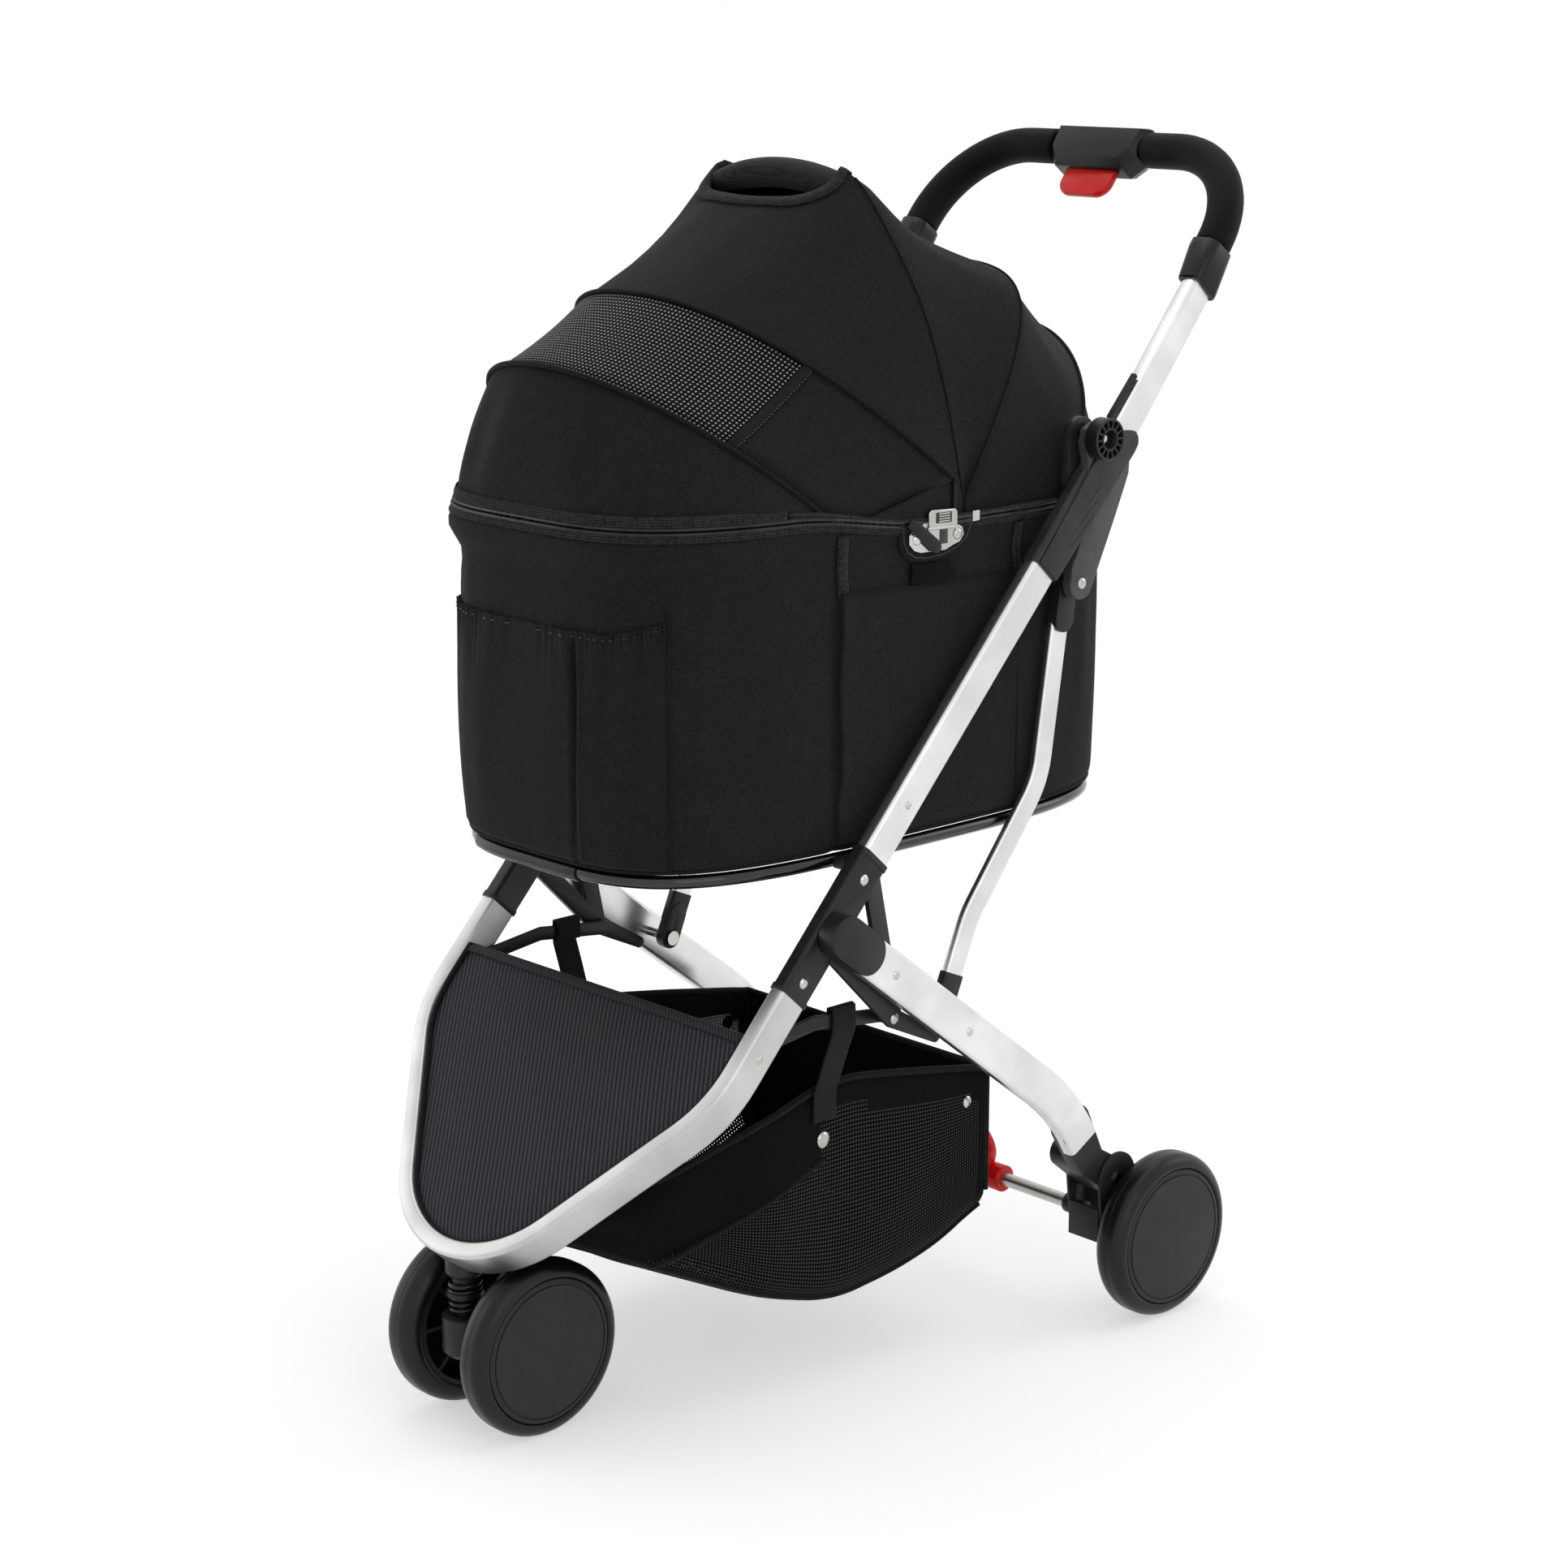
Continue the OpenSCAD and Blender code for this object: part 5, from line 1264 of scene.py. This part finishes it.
for label, way, first, last in (("left", 1, 351.4, 370.4), ("right", -1, 188.6, 169.6)):
    sweep = steps_between(first, last, SIDE_STEPS)
    rows = []
    for h in (0.0, 0.01, 0.04, 0.1, 0.2, 0.32, 0.45, 0.58, 0.7, 0.82, 0.92, 0.97):
        z = SIDE_TOP - h * (SIDE_TOP - TUB_LOW)
        mouth = ((0.7 + 0.3 * math.sin(h * 11 + 0.8))
                 * (0.55 + 0.45 * math.sin(math.pi * min(1, h + 0.15))))
        row = []
        for n, a in enumerate(sweep):
            s = n / SIDE_STEPS
            off = 0.9 + 5.6 * math.exp(-s * 7) * mouth
            off += 0.5 * math.sin(s * 9 + h * 6) * math.sin(math.pi * h)
            slip = way * (0.22 * math.sin(h * 13) + 0.1 * math.sin(h * 29)) * math.exp(-s * 9)
            row.append(wall(a + slip, z + top_bow(s), off if n else -1.2))
        rows.append(row)
    side_pouch = cloth("side_pocket_" + label, rows)
    side_size = measured(side_pouch)
    thicken(side_pouch, 1.0)
    finish(side_pouch, "canvas", "carrier", "canvas")
    declare(side_pouch, "stretched", ["carrier_tub_cloth"], *side_size)
    cord("side_seam_" + label, [wall(last, z, 1.2)
                                for z in steps_between(TUB_LOW + 6, TUB_HIGH - 6, 30)], 1.0)
    top_edge = [wall(a, SIDE_TOP - 1 + top_bow(n / SIDE_STEPS), 1.5 + 3.6 * math.exp(-n / 10))
                for n, a in enumerate(sweep)][1:]
    cord("side_pocket_hem_" + label, top_edge, 0.9)
    for n, a in enumerate((first + 0.5 * way, last - 0.6 * way)):
        strip = cloth(f"loop_strip_{label}_{n}",
                      [[wall(a + d * way, z, 1.0) for d in (-0.85, 0, 0.85)]
                       for z in steps_between(SIDE_TOP - 3, 702, 10)])
        thicken(strip, 1.2, 1.0)
        finish(strip, "tape", "carrier", "webbing")

# piping round the floor edge, the ring under it and the sleeve that hangs the tub on the ring
cord("floor_piping", [wall(a, TUB_LOW + 3.0, 0.6) for a in TURN[:-1]], 1.9, closed=True)
RING_INSET, RING_FULLER, RING_R = 7.5, 2, 5.5
ring_mid = (ring_low.z + ring_high.z) / 2 / MM
finish(piping("base_ring_tube", [at(*plan(a, RING_INSET, RING_FULLER), ring_mid) for a in TURN[:-1]],
              RING_R, True, 16), "gloss_paint", "front_frame", "painted_steel", "base_ring")
cord("ring_sleeve", [at(*plan(a, RING_INSET, RING_FULLER), ring_mid - 0.4)
                     for a in steps_between(251, 277, 30)], RING_R + 1.5, "front_frame", "black_plastic",
     "black_abs", sides=12)

# the mat inside, drawn in row by row from its middle below, round its edge, to its middle above
mat_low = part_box("carrier_mat")[0].z / MM
rows = []
for inset, z in ((150, 0), (100, 0), (50, 0), (14, 0), (8, 1), (5, 4), (4, 7), (5, 10.5), (8, 13.5),
                 (14, 15), (50, 15.8), (100, 16.2), (150, 16.2)):
    row = []
    for a in steps_between(0, 360, 72):
        x, y = plan(a, 7.5)
        row.append(at(x * (1 - (inset - 4) / 175), MIDDLE + (y - MIDDLE) * (1 - (inset - 4) / 280),
                      mat_low + z))
    rows.append(row)
mat = cloth("carrier_mat_padded", rows, True)
finish(mat, "fleece", "carrier", "mat_fleece", "carrier_mat")

# ---------------------------------------------------------------- zip, clasps and patches
# the flap zips on between these two angles
FLAP_A, FLAP_B = 199.0, 341.0
UPPER_TAPE = ((-0.2, 713.6), (-0.7, 716), (-0.5, 719), (0.6, 723))


def rim_strip(name, first, last, levels, body, count, thick=0.9):
    """A tape sewn along the rim; above the rim it gets narrower towards the rear."""
    rows = []
    for inset, z in levels:
        row = []
        for a in steps_between(first, last, count):
            y = plan(a)[1]
            narrow = 1 - 0.6 * clamped((y + 190) / 130) if z > RIM_Z else 1.0
            row.append(at(*plan(a, inset - belly(a, z)), RIM_Z + (z - RIM_Z) * narrow + risen(y)))
        rows.append(row)
    strip = cloth(name, rows, abs(last - first) >= 360)
    thicken(strip, thick, 1.0)
    finish(strip, "tape", body, "webbing")


rim_strip("zip_tape_lower", 0, 360, ((0.6, 704), (-0.2, 705), (-0.6, 708), (-0.2, 710.4)), "carrier", 240,
          0.6)
rim_strip("zip_tape_upper_front", FLAP_A, FLAP_B, ((-0.2, 713.6), (-0.8, 716), (-0.6, 720), (0.6, 723.5)),
          "canopy", 110)
rim_strip("zip_tape_upper_left", FLAP_B - 360 + 0.5, 36, UPPER_TAPE, "carrier", 40)
rim_strip("zip_tape_upper_right", 144, FLAP_A - 0.5, UPPER_TAPE, "carrier", 40)
rim_strip("zip_tape_upper_rear", 36.5, 143.5, UPPER_TAPE, "carrier", 90)
# the two rows of zip coil: a cord that is thick at each tooth and thin between
TEETH, TOOTH_R, GAP_R = 460, 1.65, 1.1
for label, level in (("lower", 710.2), ("upper", 713.7)):
    coil_line = []
    for i in range(TEETH * 2):
        a = 180 * i / TEETH
        spot = at(*plan(a, -0.7 - belly(a, level)), level + risen(plan(a)[1]))
        out = Vector((spot.x, (spot.y - floor_middle.y) * 0.5, 0)).normalized()
        coil_line.append((spot, out, (TOOTH_R if i % 2 else GAP_R) * MM))
    coil_line.append(coil_line[0])
    rows = [[spot + out * r * math.cos(b) + Vector((0, 0, r * math.sin(b))) for spot, out, r in coil_line]
            for b in steps_between(0, 2 * math.pi, 8)]
    finish(cloth("zip_coil_" + label, rows, True), "coil", "carrier", "webbing")


def beside(points, out):
    """Places on the left side of the rim from their (y, z), in millimetres off it."""
    return [at(HALF + out, y, z) for y, z in points]


def side_plate(name, points, out, depth, ease, material, slot, *stands_for):
    """A flat piece on each side of the carrier."""
    both_sides(plate(name, beside(points, out), depth, ease), name, material, "carrier", slot,
               *stands_for)


def side_cord(name, points, out, radius, material, slot, sides=4):
    """A cord or raised rib on each side of the carrier."""
    both_sides(piping(name, beside(points, out), radius, sides=sides), name, material, "carrier", slot)


patch_line = [(-30, 716), (-29, 698), (-24, 689), (-15, 684), (0, 682), (20, 683), (38, 688), (49, 695),
              (54, 705), (55, 716)]
side_plate("clasp_patch", patch_line, 0.9, 2.0, 0.5, "canvas_loose", "canvas")
sewn_line = [(17 + (y - 17) * 0.9, 716 + (z - 716) * 0.9) for y, z in patch_line]
side_cord("clasp_patch_seam", sewn_line, 1.0, 0.6, "gloss_paint", "canvas")
side_plate("hook_patch", [(-15, 681), (-16, 664.5), (33, 661.5), (35, 678.5)], 1.2, 2.2, 0.6, "velcro",
           "webbing")
# the clasp: a pressed plate with a square window and two big rivets, and the ribbed button over it
side_plate("clasp_plate", [(-7, 690.2), (21, 689.6), (29, 692.5), (37, 694.5), (42, 700), (40, 706.5),
                           (33, 709.5), (27, 710.5), (26, 713), (-4, 713.5), (-6, 710), (-13, 709.5),
                           (-19.5, 705.5), (-19.5, 698), (-14, 692.5)],
           2.6, 1.7, 0.7, "nickel", "bright_metal", "clasps")
side_plate("clasp_window", [(13.5, 707), (13.5, 695), (23, 695), (23, 707)], 2.75, 0.8, 0.2,
           "gloss_paint", "black_plastic")
side_plate("clasp_button", [(0, 709), (0, 721.5), (3, 723.5), (29, 722.5), (32, 720), (32, 708)],
           5.0, 4.2, 1.0, "nickel", "bright_metal")
side_plate("button_panel", [(7, 712.5), (7, 721), (25, 720.5), (25, 712)], 5.2, 1.0, 0.2, "gloss_paint",
           "black_plastic")
for n in range(4):
    side_cord(f"button_rib_{n}", [(10, 713.8 + 2 * n), (22, 713.5 + 2 * n)], 5.3, 0.6, "nickel",
              "bright_metal")
side_cord("clasp_lip", [(-1, 708.6), (30, 707.6)], 3.6, 1.3, "nickel", "bright_metal", 8)
for n, spot in enumerate(beside([(-11.6, 701.5), (34.1, 701.5)], 2.6)):
    both_sides(dome("clasp_rivet", spot, 4.8, 2.4), f"clasp_rivet_{n}", "nickel", "carrier",
               "bright_metal")
side_plate("zip_pull", [(-25, 713), (-20, 718.5), (-14, 717), (12, 697.5), (13.5, 692.5), (9.5, 688.5),
                        (4, 689.5)], 6.2, 2.2, 0.8, "black_abs", "black_plastic")
side_plate("zip_end", [(52, 709), (52, 717.5), (60, 717.5), (60, 709)], 2.4, 2.4, 0.6, "nickel",
           "bright_metal")

# ---------------------------------------------------------------- front panel
INNER, R_IN = SIDE_X - TUBE_T / 2, LOOP_R - TUBE_T / 2
PANEL_LONG = 0.236
bend_top = LOOP_STRAIGHT - LOOP_R * math.tan(NECK_TURN / 2)
# half the panel's edge, as (half its width, how far up the slope), from its top down to its nose
edge_line = [(INNER, -t) for t in steps_between(42, bend_top, 4)]
edge_line += [(SIDE_X - LOOP_R + R_IN * math.cos(a), -bend_top - R_IN * math.sin(a))
              for a in steps_between(0, NECK_TURN, 7)][1:]
last_x, last_t = edge_line[-1]
edge_line += [(last_x - d * math.sin(NECK_TURN), last_t - d * math.cos(NECK_TURN))
              for d in steps_between(0, moves_of(LOOP, LOOP_R)[2], 9)][1:]
nose_t = -LOOP_STRAIGHT - SIDE_X / math.tan(NECK_TURN) + LOOP_R / math.sin(NECK_TURN)
edge_line += [(R_IN * math.cos(a), nose_t - R_IN * math.sin(a))
              for a in steps_between(NECK_TURN, math.radians(88.5), 15)][1:]

ACROSS_PANEL = steps_between(-1, 1, 48)
rows = []
for n, (x, t) in enumerate(edge_line):
    row = []
    for u in ACROSS_PANEL:
        crown = (1 - abs(u) ** 3) * min(1, x / 60)
        out = 8.6 + 3.6 * crown * min(1, 0.25 + n / 8) + 0.25 * math.sin(7 * u + n * 0.7) * crown
        row.append(on_tube(t, out, -u * (x - 0.4)))
    rows.append(row)
panel = cloth("front_panel_cloth", rows)
panel_area = measured(panel)[0]
# the twill is cut straight, so its pattern runs on unbent over the whole panel
layer = panel.data.uv_layers.active.data
for corner in panel.data.loops:
    spot = panel.data.vertices[corner.vertex_index].co
    layer[corner.index].uv = (spot.x, (spot - on_tube(0, 0, 0)).dot(ALONG))
thicken(panel, 1.6)
finish(panel, "twill", "front_frame", "panel_twill", "front_panel")
hem = cloth("front_panel_hem",
            [[on_tube(t, out + 1.2 * (1 - abs(u) ** 3), -u * (INNER - 0.6)) for u in ACROSS_PANEL]
             for t, out in ((-41.2, 8.0), (-42.3, 9.8), (-45, 10.6), (-48.2, 10.9), (-49, 10.2))])
thicken(hem, 0.8, 1.0)
finish(hem, "herringbone", "front_frame", "webbing")
border_line = ([on_tube(t, 10.4, x - 1.8) for x, t in edge_line]
               + [on_tube(t, 10.4, 1.8 - x) for x, t in reversed(edge_line)])
cord("front_panel_piping", border_line, 1.9, "front_frame", "panel_twill")

# ---------------------------------------------------------------- basket
RIM = [(95, 237), (86, 240), (-5, 257), (-65, 267), (-105, 265), (-165, 248), (-245, 219), (-320, 188),
       (-326, 186)]
FLOOR = [(95, 112), (60, 92), (0, 77), (-80, 70), (-150, 92), (-250, 138), (-326, 172)]
WIDTH = [(95, 149), (-160, 149), (-250, 125), (-326, 60)]
STRAP_Y = -98
# the binding is this wide, and the ends are whole cloth up to these places
HEM, FRONT_CLOTH, REAR_CLOTH = 26, -300, 86
WALL_STEPS, CORNER_STEPS, FLOOR_STEPS, CORNER_R = 16, 5, 18, 24.0


def along_y(table, y):
    """A value read off a table of (y, value) places, in between them too."""
    for (a, p), (b, q) in zip(table, table[1:]):
        if b <= y <= a:
            return p + (q - p) * (y - a) / (b - a)
    return table[0][1] if y > table[0][0] else table[-1][1]


def evened(table, y, step):
    return sum(along_y(table, y + d * step) for d in (-2, -1, 0, 1, 2)) / 5


def basket_rim(y):
    return evened(RIM, y, 6)


def basket_floor(y):
    return evened(FLOOR, y, 12)


def basket_wide(y):
    return evened(WIDTH, y, 8)


def basket_seam(y):
    """The slanting seam where the front's plain cloth meets the net of the sides."""
    return 205 - 0.374 * (STRAP_Y - y)


def basket_section(y):
    """One cross-section, from the left rim down round the floor and up to the right rim."""
    top, low, half = basket_rim(y), basket_floor(y), basket_wide(y)
    r = min(CORNER_R, (top - low) * 0.45, half * 0.5)
    side = []
    for s in steps_between(0, 1, WALL_STEPS)[:-1]:
        swell = (3.5 + 1.2 * math.sin(y * 0.045 + 3 * s)) * math.sin(math.pi * s)
        side.append((half + swell, top + (low + r - top) * s))
    side += [(half - r + r * math.cos(a), low + r - r * math.sin(a))
             for a in steps_between(0, math.pi / 2, CORNER_STEPS)]
    flat = [(x, low - 5 * math.cos(math.pi / 2 * x / (half - r)) + 0.8 * math.sin(x * 0.06 + y * 0.05))
            for x in steps_between(half - r, r - half, FLOOR_STEPS)][1:-1]
    return [at(x, y, z) for x, z in side + flat + [(-x, z) for x, z in reversed(side)]]


REAR_END, FRONT_END = 94, -324
stations = steps_between(REAR_END, FRONT_END, 84)
tray = cloth("basket_cloth", [basket_section(y) for y in stations])
tray_size = measured(tray)
finish(tray, "basket_net", "front_frame", "basket_mesh", "basket")
tray.data.materials.append(FINISH["basket_cloth"])
for face in tray.data.polygons:
    y, z = face.center.y / MM - SHIFT, face.center.z / MM
    face.material_index = int(z > basket_rim(y) - HEM or (y < STRAP_Y and z > basket_seam(y))
                              or y < FRONT_CLOTH or y > REAR_CLOTH)
thicken(tray, 0.7)

for label, y, lean in (("rear", REAR_END, 4.0), ("front", FRONT_END - 0.5, -1.0)):
    profile = basket_section(y)
    half_way = len(profile) // 2
    top, low = profile[0].z, profile[half_way].z
    rows = []
    for a, b in zip(profile[:half_way], profile[::-1]):
        bulge = lean * MM * math.sin(math.pi * (a.z - low) / max(MM, top - low))
        rows.append([a.lerp(b, s) + Vector((0, bulge * math.sin(math.pi * s), 0))
                     for s in steps_between(0, 1, 24)])
    end = cloth("basket_end_" + label, rows)
    thicken(end, 0.7)
    finish(end, "basket_cloth", "front_frame", "basket_mesh")

rim_line = [at(basket_wide(y), y, basket_rim(y)) for y in stations]
far_line = [at(-basket_wide(y), y, basket_rim(y)) for y in reversed(stations)]
cord("basket_rim_binding", rim_line + far_line, 3.0, "front_frame", "webbing", closed=True)
# the strap over the rail: down its inner side, round the end and back up
strap_path = [(152.8, 238), (153.0, 250), (153.6, 264), (159, 277), (167, 299), (174.6, 318),
              (175.4, 330), (174.8, 338.6), (171.7, 339.6), (168.6, 338.6), (168.0, 330), (168.6, 320)]
for label, way, stands_for in (("left", 1, ["basket_straps"]), ("right", -1, [])):
    floor_edge = [at(way * (basket_wide(y) - 7), y, basket_floor(y) + 6.5) for y in stations]
    corner = [at(way * (basket_wide(93) + 0.5), REAR_END + 0.5, z)
              for z in steps_between(basket_floor(93) + 22, basket_rim(93), 12)]
    seam = [at(way * (basket_wide(y) + 3.6), y, basket_seam(y)) for y in steps_between(STRAP_Y, -254, 36)]
    for name, line, radius in (("floor_binding", floor_edge, 2.4), ("corner_binding", corner, 2.6),
                               ("side_seam", seam, 2.2)):
        cord(f"basket_{name}_{label}", line, radius, "front_frame", "webbing")
    strap = cloth("basket_strap_" + label,
                  [[at(way * x, STRAP_Y + d, z) for d in steps_between(-12.5, 12.5, 6)]
                   for x, z in strap_path])
    thicken(strap, 1.5, 0.0)
    bevel(strap, 0.4, 2, 60)
    finish(strap, "webbing", "front_frame", "webbing", *stands_for)

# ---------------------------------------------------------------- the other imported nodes' finishes
for material, nodes in (
        ("nickel", ("frame_rivets", "basket_snaps", "leg_rivets")),
        ("zinc", ("rear_axles", "brake_bar", "front_axle", "grip_core")),
        ("satin_paint", ("caster_stem", "canopy_bows", "front_bow")),
        ("hub", ("rear_hub_left", "rear_hub_right", "front_hub_left", "front_hub_right"))):
    for node in nodes:
        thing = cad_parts[node]
        thing.data.materials.clear()
        thing.data.materials.append(FINISH[material])

# ---------------------------------------------------------------- the sheets' cut lengths, worked out and not kept
declare(canopy, "stretched", ["canopy_bows"], *canopy_size)
declare(flap, "stretched", ["front_bow"], *flap_size)
declare(window, "stretched", ["front_bow"], *window_size, *borders)
for piece, flat_size in side_sizes:
    declare(piece, "stretched", ["front_bow"], *flat_size)
declare(pouch, "gathered", ["carrier_tub_cloth"], *pouch_size, stitches)
declare(panel, "stretched", ["front_loop_tube"], panel_area, 2 * INNER * MM, PANEL_LONG, hem)
declare(tray, "hung", ["basket_rails"], *tray_size)

# ---------------------------------------------------------------- floor and surroundings
def seen_directly(tree):
    """1 where the camera looks, straight, by a reflection or through glass, and 0 for other light."""
    ray = put(tree, "ShaderNodeLightPath").outputs
    straight = sums(tree, "ADD", ray["Is Camera Ray"], ray["Is Glossy Ray"], use_clamp=True)
    return sums(tree, "ADD", straight, ray["Is Transmission Ray"], use_clamp=True)


set_down()
bpy.ops.mesh.primitive_plane_add(size=14, location=(0, 0, 0))
floor = bpy.context.object
floor.name = "studio_floor"
pale, tree, board = new_finish("matt_white_floor", Base_Color=hexed("#f2f2f2"), Roughness=0.9,
                               Emission_Color=hexed("#ffffff"))
spread = put(tree, "ShaderNodeVectorMath", {"operation": "LENGTH"}, {0: coordinates(tree, "Object")})
clear = put(tree, "ShaderNodeMapRange", {"interpolation_type": "SMOOTHSTEP"},
            {"Value": spread.outputs["Value"], "From Min": 0.9, "From Max": 2.4, "To Min": 1.0,
             "To Max": 0.0})
plug(tree, board, Alpha=clear.outputs["Result"],
     Emission_Strength=sums(tree, "MULTIPLY", seen_directly(tree), 0.5))
floor.data.materials.append(pale)

world = bpy.context.scene.world or bpy.data.worlds.new("studio")
bpy.context.scene.world = world
world.use_nodes = True
tree = world.node_tree
sky = tree.nodes["Background"]
sky.inputs["Color"].default_value = (1, 1, 1, 1)
plug(tree, sky, Strength=mapped(tree, seen_directly(tree), 0.42, 1.0))
